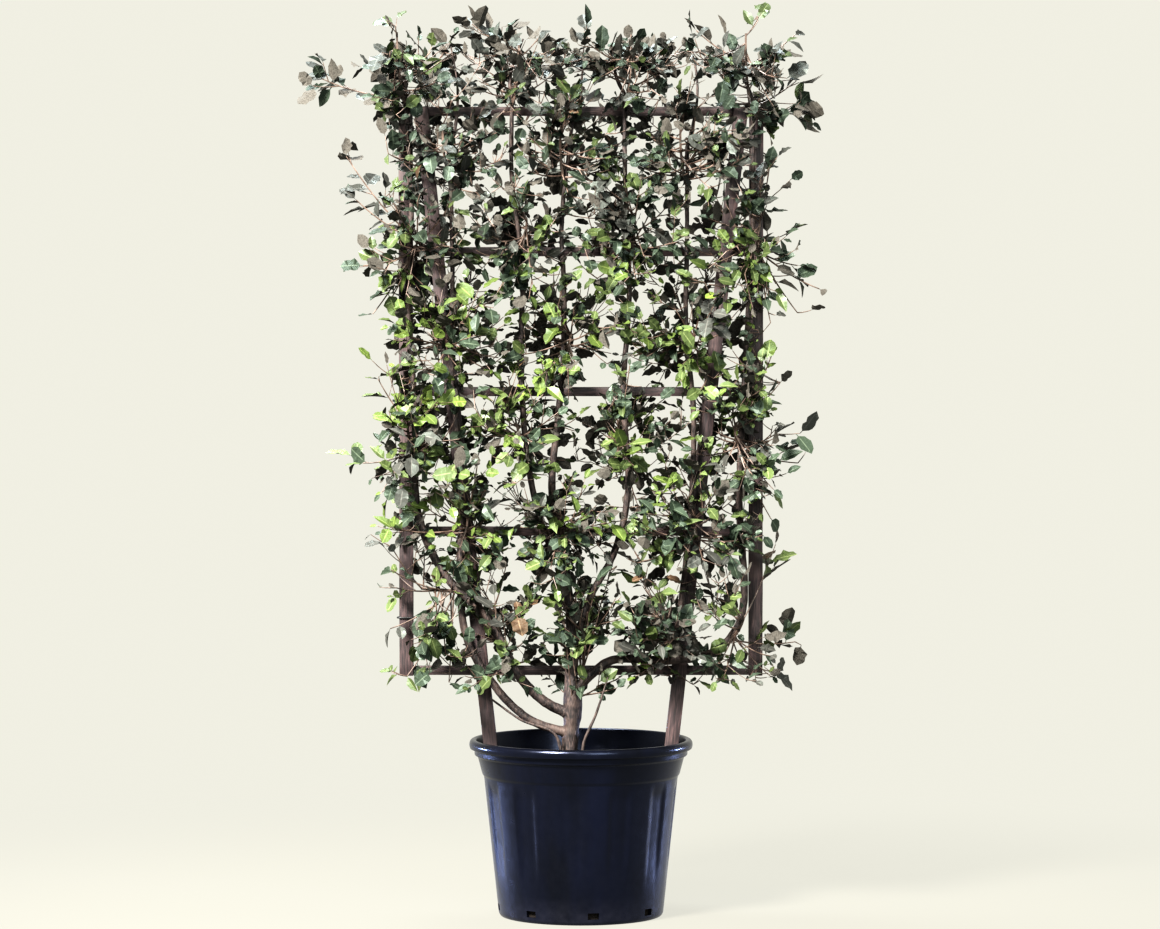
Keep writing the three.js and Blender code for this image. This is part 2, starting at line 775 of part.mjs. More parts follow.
for (const [side, name] of [[-1, "left"], [1, "right"]]) {
  addPiece(`trellis_leg_${name}`, legGeometry(side), "lath");
  keepClearOf(solidFrom(legGeometry(side, gap)));
  addPiece(`trellis_upright_${name}`, outerUprightGeometry(side), "lath");
  keepClearOf(solidFrom(outerUprightGeometry(side, gap)));
}
for (let i = 0; i < trellis.rails; i += 1) {
  addPiece(`trellis_rail_${i + 1}`, railGeometry(i), "lath");
  keepClearOf(solidFrom(railGeometry(i, gap)));
}

addTrunk();
boughs.forEach(addBough);
for (const { name, points } of shoots) addLimb(name, "shoot", smoothRoute(points), taper(shootRadii));

const masses = foliageMasses();
masses.forEach((mass, index) => {
  addPiece(mass.name, geometryFrom(growMass(mass, masses, index + 1)), "foliage");
});

export default plant;
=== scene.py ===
"""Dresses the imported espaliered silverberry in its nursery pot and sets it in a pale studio.

Every shape is built in millimetres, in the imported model's own frame, and scaled to metres when it
is finished: +Z is up, +X is to the right and -Y is towards the camera.
"""

import json
import logging
import math
from dataclasses import dataclass, field
from enum import Enum
from typing import Callable, Iterable, Optional, Sequence, Union

import bmesh
import bpy
import numpy as np
from mathutils import Euler, Matrix, Vector, noise

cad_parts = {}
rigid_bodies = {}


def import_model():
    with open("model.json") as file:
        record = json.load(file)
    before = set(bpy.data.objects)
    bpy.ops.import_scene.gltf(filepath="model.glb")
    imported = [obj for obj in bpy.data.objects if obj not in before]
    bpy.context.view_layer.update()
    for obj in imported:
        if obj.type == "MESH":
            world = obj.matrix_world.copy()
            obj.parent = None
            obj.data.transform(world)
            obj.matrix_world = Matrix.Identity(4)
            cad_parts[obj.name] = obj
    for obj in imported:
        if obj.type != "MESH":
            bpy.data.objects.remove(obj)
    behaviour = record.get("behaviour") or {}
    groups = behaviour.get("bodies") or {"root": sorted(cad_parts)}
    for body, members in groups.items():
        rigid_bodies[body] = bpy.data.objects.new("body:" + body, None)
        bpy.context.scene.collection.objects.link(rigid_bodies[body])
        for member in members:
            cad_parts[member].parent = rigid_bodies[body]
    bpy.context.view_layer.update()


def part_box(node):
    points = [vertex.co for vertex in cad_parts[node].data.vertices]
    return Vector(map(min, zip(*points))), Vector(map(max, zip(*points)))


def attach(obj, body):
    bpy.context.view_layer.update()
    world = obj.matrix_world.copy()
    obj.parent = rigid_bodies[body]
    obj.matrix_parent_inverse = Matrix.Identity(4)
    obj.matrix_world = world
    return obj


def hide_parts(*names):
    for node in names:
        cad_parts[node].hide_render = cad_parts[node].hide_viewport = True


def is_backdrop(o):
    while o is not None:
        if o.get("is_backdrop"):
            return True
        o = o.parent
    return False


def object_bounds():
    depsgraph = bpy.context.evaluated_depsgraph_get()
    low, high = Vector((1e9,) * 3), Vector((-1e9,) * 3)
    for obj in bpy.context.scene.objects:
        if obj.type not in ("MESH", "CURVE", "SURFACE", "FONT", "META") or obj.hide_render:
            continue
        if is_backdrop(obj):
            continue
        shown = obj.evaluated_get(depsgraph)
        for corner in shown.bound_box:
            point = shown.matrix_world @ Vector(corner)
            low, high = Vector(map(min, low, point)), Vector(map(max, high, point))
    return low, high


log = logging.getLogger("silverberry")

MM = 0.001
BODY = "root"
GOLDEN_ANGLE = 137.5
WALL_WELD = 0.01
TUBE_WELD = 0.005
LEAF_WELD = 1e-5

Span = tuple[float, float]
Point = tuple[float, float]
Place = tuple[float, float, float]
Line = Sequence[Vector]
Stops = tuple[tuple[float, str], ...]
Inputs = dict[Union[str, int], object]
Shape = bmesh.types.BMesh
Socket = bpy.types.NodeSocket
Material = bpy.types.Material


class Slot(Enum):
    """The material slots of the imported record."""

    POT = "pot_plastic"
    SOIL = "soil"
    LATH = "stained_lath"
    BARK = "bark"
    FOLIAGE = "foliage"


def lerp(start: float, end: float, share: float) -> float:
    """Gives the value at a share of the way from start to end."""
    return start + (end - start) * share


def smooth(value: float, low: float, high: float) -> float:
    """Rises smoothly from 0 at the low value to 1 at the high one."""
    share = min(max((value - low) / (high - low), 0.0), 1.0)
    return share * share * (3.0 - 2.0 * share)


def linear(code: str) -> tuple[float, ...]:
    """Turns an sRGB hex colour into a linear one.

    Args:
        code: the colour, such as "#1a2b3c".

    Returns:
        Red, green, blue and full opacity, as Blender's sockets take them.
    """
    channels = [int(code[place : place + 2], 16) / 255 for place in (1, 3, 5)]
    red, green, blue = (c / 12.92 if c <= 0.04045 else ((c + 0.055) / 1.055) ** 2.4 for c in channels)
    return red, green, blue, 1.0


def per_metre(size: float) -> float:
    """Gives the scale at which one cell of a pattern is a size in millimetres."""
    return 1.0 / (size * MM)


def feed(tree: bpy.types.NodeTree, node: bpy.types.Node, inputs: Inputs) -> None:
    """Gives each of a node's inputs its value, or links it to the output socket given for it."""
    for socket, value in inputs.items():
        if isinstance(value, Socket):
            tree.links.new(value, node.inputs[socket])
        else:
            node.inputs[socket].default_value = value


def add_node(
    tree: bpy.types.NodeTree,
    kind: str,
    inputs: Optional[Inputs] = None,
    stops: Stops = (),
    **settings: object,
) -> bpy.types.Node:
    """Adds a node with its settings and links.

    Args:
        tree: the node tree that it goes into.
        kind: the node's type name.
        inputs: a value, or the output socket to link, for each input by its name or number.
        stops: the places and hex colours of a colour ramp, from left to right.
        settings: the node's own properties.

    Returns:
        The new node.
    """
    node = tree.nodes.new(kind)
    for name, value in settings.items():
        setattr(node, name, value)
    feed(tree, node, inputs or {})
    for place, (share, colour) in enumerate(stops):
        elements = node.color_ramp.elements
        element = elements[place] if place < 2 else elements.new(share)
        element.position = share
        element.color = linear(colour)
    return node


@dataclass(frozen=True)
class Surface:
    """The nodes of one material: its tree, its shader, and places in Object coordinates."""

    tree: bpy.types.NodeTree
    shader: bpy.types.Node
    place: Socket

    def attribute(self, name: str) -> Socket:
        """Reads an attribute of the mesh."""
        return add_node(self.tree, "ShaderNodeAttribute", attribute_name=name).outputs["Vector"]

    def scaled(self, place: Socket, scale: Place) -> Socket:
        """Scales places along each axis."""
        return add_node(self.tree, "ShaderNodeMapping", {"Vector": place, "Scale": scale}).outputs[0]

    def parts(self, place: Socket) -> bpy.types.NodeOutputs:
        """Takes places apart into X, Y and Z."""
        return add_node(self.tree, "ShaderNodeSeparateXYZ", {0: place}).outputs

    def noise(self, scale: float, detail: float = 2.0, place: Optional[Socket] = None) -> Socket:
        """Makes a cloudy pattern with a scale and some layers of finer detail."""
        inputs = {"Vector": self.place if place is None else place, "Scale": scale, "Detail": detail}
        return add_node(self.tree, "ShaderNodeTexNoise", inputs).outputs["Fac"]

    def cells(self, scale: float) -> Socket:
        """Makes a pattern of cells, which rises from the middle of each."""
        inputs = {"Vector": self.place, "Scale": scale}
        return add_node(self.tree, "ShaderNodeTexVoronoi", inputs).outputs["Distance"]

    def ramp(self, value: Socket, stops: Stops) -> Socket:
        """Turns values into colours."""
        return add_node(self.tree, "ShaderNodeValToRGB", {0: value}, stops).outputs[0]

    def ranged(self, value: Socket, given: Span, wanted: Span) -> Socket:
        """Carries values from one span over to another, and holds those past its ends."""
        inputs = {"Value": value, 1: given[0], 2: given[1], 3: wanted[0], 4: wanted[1]}
        return add_node(self.tree, "ShaderNodeMapRange", inputs).outputs[0]

    def blend(self, share: Socket, first: object, second: object) -> Socket:
        """Blends two colours by a share of the second."""
        inputs = {0: share, 6: first, 7: second}
        return add_node(self.tree, "ShaderNodeMix", inputs, data_type="RGBA").outputs[2]

    def bump(self, height: Socket, relief: Span, **settings: bool) -> Socket:
        """Makes fine relief from heights, by its strength and its depth in millimetres."""
        inputs = {"Height": height, "Strength": relief[0], "Distance": relief[1] * MM}
        return add_node(self.tree, "ShaderNodeBump", inputs, **settings).outputs[0]

    def finish(self, **inputs: object) -> None:
        """Gives the shader's inputs, named with underscores for spaces, their values or links."""
        feed(self.tree, self.shader, {name.replace("_", " "): value for name, value in inputs.items()})


class Finish:
    """A surface finish, which makes its material from its own fields. Sizes are in millimetres."""

    title: str

    def shade(self, surface: Surface) -> None:
        """Builds the finish's nodes."""
        raise NotImplementedError

    def make(self) -> Material:
        """Makes the finish's material."""
        material = bpy.data.materials.new(self.title)
        material.use_nodes = True
        tree = material.node_tree
        place = add_node(tree, "ShaderNodeTexCoord").outputs["Object"]
        self.shade(Surface(tree, tree.nodes["Principled BSDF"], place))
        return material


@dataclass(frozen=True)
class MouldedPolypropylene(Finish):
    """Blue-black polypropylene, injection-moulded.

    The smooth skin gives broad soft highlights. Faint flow marks run up the wall, and a film of
    dust lies low on the foot.
    """

    title: str = "moulded polypropylene"
    tones: Stops = ((0.35, "#040509"), (0.7, "#070a17"))
    flow: float = 70.0
    flow_draw: Place = (1.0, 1.0, 0.25)
    flow_detail: float = 3.0
    dust: str = "#2e2e36"
    dusty_height: float = 55.0
    dustiness: Span = (0.55, 0.06)
    smear: float = 16.0
    smear_detail: float = 5.0
    smears: Span = (0.3, 0.75)
    roughness: Span = (0.22, 0.28)
    grain: float = 1.4
    relief: Span = (0.12, 0.1)
    sheen: str = "#cdd8ff"
    gloss: float = 0.36

    def shade(self, surface: Surface) -> None:
        """Builds the moulded skin."""
        drawn = surface.scaled(surface.place, self.flow_draw)
        flow = surface.noise(per_metre(self.flow), self.flow_detail, drawn)
        smear = surface.noise(per_metre(self.smear), self.smear_detail)
        height = surface.parts(surface.place)["Z"]
        low = surface.ranged(height, (0.0, self.dusty_height * MM), self.dustiness)
        film = add_node(surface.tree, "ShaderNodeMath", {0: low, 1: smear}, operation="MULTIPLY")
        tones = surface.ramp(flow, self.tones)
        surface.finish(
            Base_Color=surface.blend(film.outputs[0], tones, linear(self.dust)),
            Roughness=surface.ranged(smear, self.smears, self.roughness),
            Normal=surface.bump(surface.noise(per_metre(self.grain)), self.relief),
            Specular_Tint=linear(self.sheen),
            Specular_IOR_Level=self.gloss,
        )


@dataclass(frozen=True)
class PottingCompost(Finish):
    """Peat and composted bark: crumbly and matt, nearly black where damp and dull brown where dry."""

    title: str = "potting compost"
    damp: str = "#17100b"
    tones: Stops = ((0.3, "#17100b"), (0.62, "#2f2822"), (0.8, "#524a40"))
    clods: float = 14.0
    clod_detail: float = 8.0
    damp_height: float = 60.0
    dry_height: float = 200.0
    crumbs: float = 3.0
    relief: Span = (0.8, 1.2)
    roughness: float = 0.95

    def shade(self, surface: Surface) -> None:
        """Builds the crumbly ground."""
        tones = surface.ramp(surface.noise(per_metre(self.clods), self.clod_detail), self.tones)
        drying = (self.damp_height * MM, self.dry_height * MM)
        dryness = surface.ranged(surface.parts(surface.place)["Z"], drying, (0.0, 1.0))
        surface.finish(
            Base_Color=surface.blend(dryness, linear(self.damp), tones),
            Normal=surface.bump(surface.cells(per_metre(self.crumbs)), self.relief, invert=True),
            Roughness=self.roughness,
        )


@dataclass(frozen=True)
class StreakedWood(Finish):
    """Wood or bark, streaked along its length, with paler patches over the streaks."""

    title: str
    tones: Stops
    pale: str
    streak: Place
    patch: float
    patch_detail: float
    patches: Span
    patch_shares: Span
    relief: Span
    roughness: float
    streak_detail: float = 6.0

    def drawn(self, surface: Surface) -> Socket:
        """Gives places counted in streaks."""
        return surface.scaled(surface.place, tuple(map(per_metre, self.streak)))

    def shade(self, surface: Surface) -> None:
        """Builds the streaks and the patches."""
        streaks = surface.noise(1.0, self.streak_detail, self.drawn(surface))
        patches = surface.noise(per_metre(self.patch), self.patch_detail)
        share = surface.ranged(patches, self.patches, self.patch_shares)
        surface.finish(
            Base_Color=surface.blend(share, surface.ramp(streaks, self.tones), linear(self.pale)),
            Normal=surface.bump(streaks, self.relief),
            Roughness=self.roughness,
        )


@dataclass(frozen=True)
class StainedSoftwood(StreakedWood):
    """Sawn softwood under a dark red-brown stain.

    The stain is thin on the raised late wood, so pale lines run along each lath, and the weather
    has greyed and bared it in patches. The grain follows each lath by its own attribute.
    """

    title: str = "stained softwood"
    tones: Stops = ((0.32, "#171214"), (0.55, "#332729"), (0.78, "#564544"))
    pale: str = "#564544"
    streak: Place = (2.2, 2.2, 30.0)
    patch: float = 60.0
    patch_detail: float = 4.0
    patches: Span = (0.5, 0.75)
    patch_shares: Span = (0.0, 0.6)
    relief: Span = (0.5, 0.5)
    roughness: float = 0.62

    def drawn(self, surface: Surface) -> Socket:
        """Gives places along the lath, which its attribute has in millimetres."""
        return surface.scaled(surface.attribute("grain"), tuple(1 / size for size in self.streak))


@dataclass(frozen=True)
class ShrubBark(StreakedWood):
    """Thin grey-brown bark, finely fissured along the limb, with a pinkish bloom on younger wood."""

    title: str = "shrub bark"
    tones: Stops = ((0.34, "#0e0b0b"), (0.52, "#2a2222"), (0.75, "#564944"))
    pale: str = "#564944"
    streak: Place = (3.2, 3.2, 10.0)
    patch: float = 28.0
    patch_detail: float = 3.0
    patches: Span = (0.45, 0.7)
    patch_shares: Span = (0.0, 0.55)
    relief: Span = (0.9, 1.6)
    roughness: float = 0.7


@dataclass(frozen=True)
class Dotted(Finish):
    """A skin mottled in two tones."""

    title: str
    tones: Stops
    dots: float
    detail: float
    roughness: float
    gleam: float = 0.5

    def shade(self, surface: Surface) -> None:
        """Builds the mottled skin."""
        dots = surface.noise(per_metre(self.dots), self.detail)
        surface.finish(
            Base_Color=surface.ramp(dots, self.tones),
            Roughness=self.roughness,
            Specular_IOR_Level=self.gleam,
        )


@dataclass(frozen=True)
class TwigSkin(Dotted):
    """The skin of young twigs: smooth and red-brown, dulled by a bloom of tiny scales."""

    title: str = "twig skin"
    tones: Stops = ((0.38, "#32261f"), (0.68, "#6e5f57"))
    dots: float = 22.0
    detail: float = 5.0
    roughness: float = 0.55


@dataclass(frozen=True)
class LeafScales(Dotted):
    """The under face of a leaf: a matt coat of silvery scales with brown dots."""

    title: str = "silvery leaf scales"
    tones: Stops = ((0.3, "#2e2c29"), (0.55, "#45433f"))
    dots: float = 2.5
    detail: float = 2.0
    roughness: float = 0.8
    gleam: float = 0.15


@dataclass(frozen=True)
class LeafGloss(Finish):
    """The upper face of a leathery leaf: waxed and glossy, with a paler midrib.

    The midrib follows the blade by an attribute: how far across, how far along, and how light
    this leaf is: its random tone times a painted shade, darker towards the crown's top and foot.
    """

    title: str
    colour: str
    vein: str
    midrib: Span = (0.03, 0.13)
    midrib_shares: Span = (0.75, 0.0)
    crinkle: float = 7.0
    relief: Span = (0.7, 2.2)
    roughness: float = 0.54
    glare: str = "#d4ece2"
    gloss: float = 0.34
    wax: float = 0.12
    wax_roughness: float = 0.3

    def shade(self, surface: Surface) -> None:
        """Builds the waxed blade with its midrib."""
        blade = surface.parts(surface.attribute("blade"))
        across = add_node(surface.tree, "ShaderNodeMath", {0: blade["X"]}, operation="ABSOLUTE")
        midrib = surface.ranged(across.outputs[0], self.midrib, self.midrib_shares)
        veined = surface.blend(midrib, linear(self.colour), linear(self.vein))
        # Painted shade: the blade's lightness carries shade painted by height into the leaf colour.
        toned_and_shaded = add_node(surface.tree, "ShaderNodeHueSaturation", {"Color": veined, "Value": blade["Z"]})
        surface.finish(
            Base_Color=toned_and_shaded.outputs[0],
            Normal=surface.bump(surface.noise(per_metre(self.crinkle)), self.relief),
            Roughness=self.roughness,
            Specular_Tint=linear(self.glare),
            Specular_IOR_Level=self.gloss,
            Coat_Weight=self.wax,
            Coat_Roughness=self.wax_roughness,
        )


@dataclass(frozen=True)
class TieTube(Finish):
    """Soft black plastic tube that gardeners tie stems with, worn dull in places by the weather."""

    title: str = "tie tube"
    colour: str = "#101214"
    wear: float = 8.0
    worn: Span = (0.3, 0.7)
    roughness: Span = (0.38, 0.62)

    def shade(self, surface: Surface) -> None:
        """Builds the dulled plastic."""
        wear = surface.noise(per_metre(self.wear))
        surface.finish(
            Base_Color=linear(self.colour), Roughness=surface.ranged(wear, self.worn, self.roughness)
        )


@dataclass(frozen=True)
class GalvanisedWire(Finish):
    """Zinc-coated nails, dulled to a soft grey with darker spangles."""

    title: str = "galvanised nail"
    tones: Stops = ((0.2, "#5d5f61"), (0.8, "#8f9192"))
    spangle: float = 1.5
    metallic: float = 1.0
    roughness: float = 0.45

    def shade(self, surface: Surface) -> None:
        """Builds the spangled zinc."""
        surface.finish(
            Base_Color=surface.ramp(surface.cells(per_metre(self.spangle)), self.tones),
            Metallic=self.metallic,
            Roughness=self.roughness,
        )


def box_of(node: str) -> tuple[Vector, Vector]:
    """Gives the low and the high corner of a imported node's box, in millimetres."""
    low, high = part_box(node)
    return low / MM, high / MM


def put(name: str, data: bpy.types.ID) -> bpy.types.Object:
    """Puts a new object with its data into the scene."""
    thing = bpy.data.objects.new(name, data)
    bpy.context.scene.collection.objects.link(thing)
    return thing


def mesh_in_metres(shape: Shape, name: str) -> bpy.types.Mesh:
    """Turns a shape in millimetres into a mesh in metres, and frees the shape."""
    bmesh.ops.scale(shape, vec=(MM, MM, MM), verts=shape.verts)
    mesh = bpy.data.meshes.new(name)
    shape.to_mesh(mesh)
    shape.free()
    return mesh


def piece_from_mesh(
    mesh: bpy.types.Mesh,
    finishes: Sequence[Material],
    replaced: Sequence[str] = (),
    crease: float = 35.0,
) -> bpy.types.Object:
    """Makes a mesh, already in metres and in place, a piece that rides on the plant.

    Args:
        mesh: the finished mesh, whose name the piece takes.
        finishes: its materials, in the order of its faces' material numbers.
        replaced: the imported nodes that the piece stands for.
        crease: the angle between faces, in degrees, past which their edge stays sharp.

    Returns:
        The piece.
    """
    for finish in finishes:
        mesh.materials.append(finish)
    mesh.shade_smooth()
    mesh.set_sharp_from_angle(angle=math.radians(crease))
    piece = put(mesh.name, mesh)
    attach(piece, BODY)
    if replaced:
        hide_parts(*replaced)
    mesh.calc_loop_triangles()
    log.info("%s: %d triangles", piece.name, len(mesh.loop_triangles))
    return piece


def piece_from_bmesh(
    shape: Shape,
    name: str,
    finishes: Sequence[Material],
    replaced: Sequence[str] = (),
    crease: float = 35.0,
) -> bpy.types.Object:
    """Scales a shape from millimetres to metres and makes it a piece, as piece_from_mesh does."""
    return piece_from_mesh(mesh_in_metres(shape, name), finishes, replaced, crease)


def spun(line: Sequence[Point], steps: int) -> Shape:
    """Spins a closed wall line once round the Z axis.

    Args:
        line: the radius and height of each point, from the axis out and round back to the axis.
        steps: the number of segments in the turn.

    Returns:
        The closed shape, with its faces outwards.
    """
    shape = bmesh.new()
    points = [shape.verts.new((0.0, -radius, height)) for radius, height in line]
    edges = [shape.edges.new(pair) for pair in zip(points, points[1:])]
    bmesh.ops.spin(
        shape,
        geom=points + edges,
        axis=(0.0, 0.0, 1.0),
        cent=(0.0, 0.0, 0.0),
        steps=steps,
        angle=math.tau,
        use_merge=True,
    )
    bmesh.ops.remove_doubles(shape, verts=shape.verts, dist=WALL_WELD)
    bmesh.ops.recalc_face_normals(shape, faces=shape.faces)
    return shape


def rounded(line: Sequence[tuple[float, float, float]], steps: int = 4) -> list[Point]:
    """Rounds the corners of a wall line.

    Args:
        line: the radius and height of each corner, and how far its rounding starts from it.
        steps: the number of short edges in each rounding.

    Returns:
        The radius and height of each point of the rounded line.
    """
    corners = [Vector((radius, height)) for radius, height, _ in line]
    points = [corners[0]]
    for place in range(1, len(line) - 1):
        before, corner, after = corners[place - 1 : place + 2]
        reach = line[place][2]
        if reach == 0:
            points.append(corner)
            continue
        entry = corner + (before - corner).normalized() * reach
        leave = corner + (after - corner).normalized() * reach
        for step in range(steps + 1):
            share = step / steps
            points.append(entry.lerp(corner, share).lerp(corner.lerp(leave, share), share))
    points.append(corners[-1])
    return [(point.x, point.y) for point in points]


@dataclass
class Pot:
    """The fluted nursery pot. Radii, heights and depths are in millimetres, angles in degrees."""

    segments: int = 240
    foot_radius: float = 162.0
    lower_radius: float = 165.5
    lower_height: float = 6.0
    body_top_radius: float = 195.0
    ledge_height: float = 281.0
    collar_foot_radius: float = 198.5
    collar_top_radius: float = 208.0
    collar_top_height: float = 322.0
    band_radius: float = 214.0
    band_top_height: float = 335.0
    lip_radius: float = 225.0
    lip_inner_radius: float = 211.0
    floor: float = 4.0
    collar_wall: float = 3.2
    body_wall: float = 6.6
    step: float = 5.0
    flutes: int = 12
    first_flute: float = -6.0
    flute_half_width: float = 8.0
    flute_shoulder: float = 3.6
    flute_depth: float = 4.2
    flute_bottom: float = 52.0
    flute_top: float = 276.0
    flute_run_out: float = 24.0
    flute_fade: float = 110.0
    wall_touch: float = 0.5
    rings: int = 26
    windows: int = 8
    first_window: float = 8.5
    window_size: Place = (22.0, 40.0, 13.0)
    window_sill: float = 12.0
    crease: float = 40.0
    band_step: float = 2.0
    lip_step: float = 2.0
    lip_height: float = 10.0
    lip_crown: float = 3.0
    roundings: tuple[float, ...] = (
        0.0, 2.5, 2.0, 1.2, 2.0, 3.0, 2.0, 1.6, 1.6, 4.0, 6.0, 3.5, 4.0, 2.0, 2.0, 2.0, 0.0,
    )
    height: float = field(init=False)

    def __post_init__(self) -> None:
        """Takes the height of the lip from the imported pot."""
        self.height = box_of("pot")[1].z

    def body_radius(self, height: float) -> float:
        """Gives the outer radius of the tapering body at a height."""
        share = (height - self.lower_height) / (self.ledge_height - self.lower_height)
        return lerp(self.lower_radius, self.body_top_radius, share)

    def wall_line(self) -> list[Point]:
        """Gives the pot's wall line, from the middle of its underside round to that of its floor."""
        top = self.height
        span = self.ledge_height - self.lower_height
        levels = [self.lower_height + span * ring / self.rings for ring in range(1, self.rings)]
        collar_foot = self.ledge_height + self.step
        foot = [(0.0, 0.0), (self.foot_radius, 0.0), (self.lower_radius, self.lower_height)]
        corners = [
            *foot,
            (self.body_top_radius, self.ledge_height),
            (self.collar_foot_radius, collar_foot),
            (self.collar_top_radius, self.collar_top_height),
            (self.band_radius, self.collar_top_height + self.band_step),
            (self.band_radius, self.band_top_height),
            (self.lip_radius - self.lip_step, self.band_top_height + self.band_step),
            (self.lip_radius, top - self.lip_height),
            (self.lip_radius - self.lip_crown, top),
            (self.lip_inner_radius, top),
            (self.collar_top_radius - self.collar_wall, self.collar_top_height),
            (self.collar_foot_radius - self.collar_wall, collar_foot),
            (self.body_top_radius - self.body_wall, self.ledge_height),
            (self.body_radius(self.floor) - self.body_wall, self.floor),
            (0.0, self.floor),
        ]
        line = [(*corner, reach) for corner, reach in zip(corners, self.roundings)]
        line[len(foot) : len(foot)] = [(self.body_radius(level), level, 0.0) for level in levels]
        return rounded(line)

    def flute_at(self, azimuth: float, height: float) -> float:
        """Gives how deep the flutes are pressed in at an azimuth and height."""
        pitch = 360.0 / self.flutes
        off = abs((azimuth - self.first_flute + pitch / 2) % pitch - pitch / 2)
        across = 1.0 - smooth(off, self.flute_half_width - self.flute_shoulder, self.flute_half_width)
        rise = smooth(height, self.flute_bottom, self.flute_bottom + self.flute_fade)
        fall = smooth(height, self.flute_top - self.flute_run_out, self.flute_top)
        return self.flute_depth * across * rise * (1.0 - fall)

    def press_flutes(self, shape: Shape) -> None:
        """Presses the flutes into the outer wall."""
        for vert in shape.verts:
            radius = math.hypot(vert.co.x, vert.co.y)
            if abs(radius - self.body_radius(vert.co.z)) > self.wall_touch:
                continue
            azimuth = math.degrees(math.atan2(vert.co.x, -vert.co.y))
            kept = (radius - self.flute_at(azimuth, vert.co.z)) / radius
            vert.co.x *= kept
            vert.co.y *= kept

    def window_cutter(self) -> bpy.types.Object:
        """Makes the ring of blocks that cuts the drain windows, as a loose object in metres."""
        shape = bmesh.new()
        width, depth, height = self.window_size
        for place in range(self.windows):
            block = bmesh.ops.create_cube(shape, size=1.0)["verts"]
            bmesh.ops.scale(shape, vec=(width, depth, height), verts=block)
            middle = self.window_sill + height / 2
            bmesh.ops.translate(shape, vec=(0.0, -self.lower_radius, middle), verts=block)
            angle = math.radians(self.first_window + 360.0 / self.windows * place)
            turn = Matrix.Rotation(angle, 3, "Z")
            bmesh.ops.rotate(shape, cent=(0.0, 0.0, 0.0), matrix=turn, verts=block)
        return put("window_cutter", mesh_in_metres(shape, "window_cutter"))

    def build(self, plastic: Material) -> None:
        """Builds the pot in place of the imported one."""
        shape = spun(self.wall_line(), self.segments)
        self.press_flutes(shape)
        mesh = cut_by(mesh_in_metres(shape, "uncut_pot"), self.window_cutter(), "nursery_pot")
        piece_from_mesh(mesh, [plastic], ["pot"], self.crease)


def cut_by(mesh: bpy.types.Mesh, cutter: bpy.types.Object, name: str) -> bpy.types.Mesh:
    """Cuts a loose object out of a mesh and removes that object.

    Args:
        mesh: the mesh that is cut, in metres.
        cutter: the object that is taken out of it.
        name: the name of the mesh that is left.

    Returns:
        The cut mesh.
    """
    carrier = put("carrier", mesh)
    modifier = carrier.modifiers.new("cut", "BOOLEAN")
    modifier.operation = "DIFFERENCE"
    modifier.solver = "EXACT"
    modifier.object = cutter
    graph = bpy.context.evaluated_depsgraph_get()
    left = bpy.data.meshes.new_from_object(carrier.evaluated_get(graph), depsgraph=graph)
    left.name = name
    for used in (carrier, cutter):
        spent = used.data
        bpy.data.objects.remove(used)
        bpy.data.meshes.remove(spent)
    return left


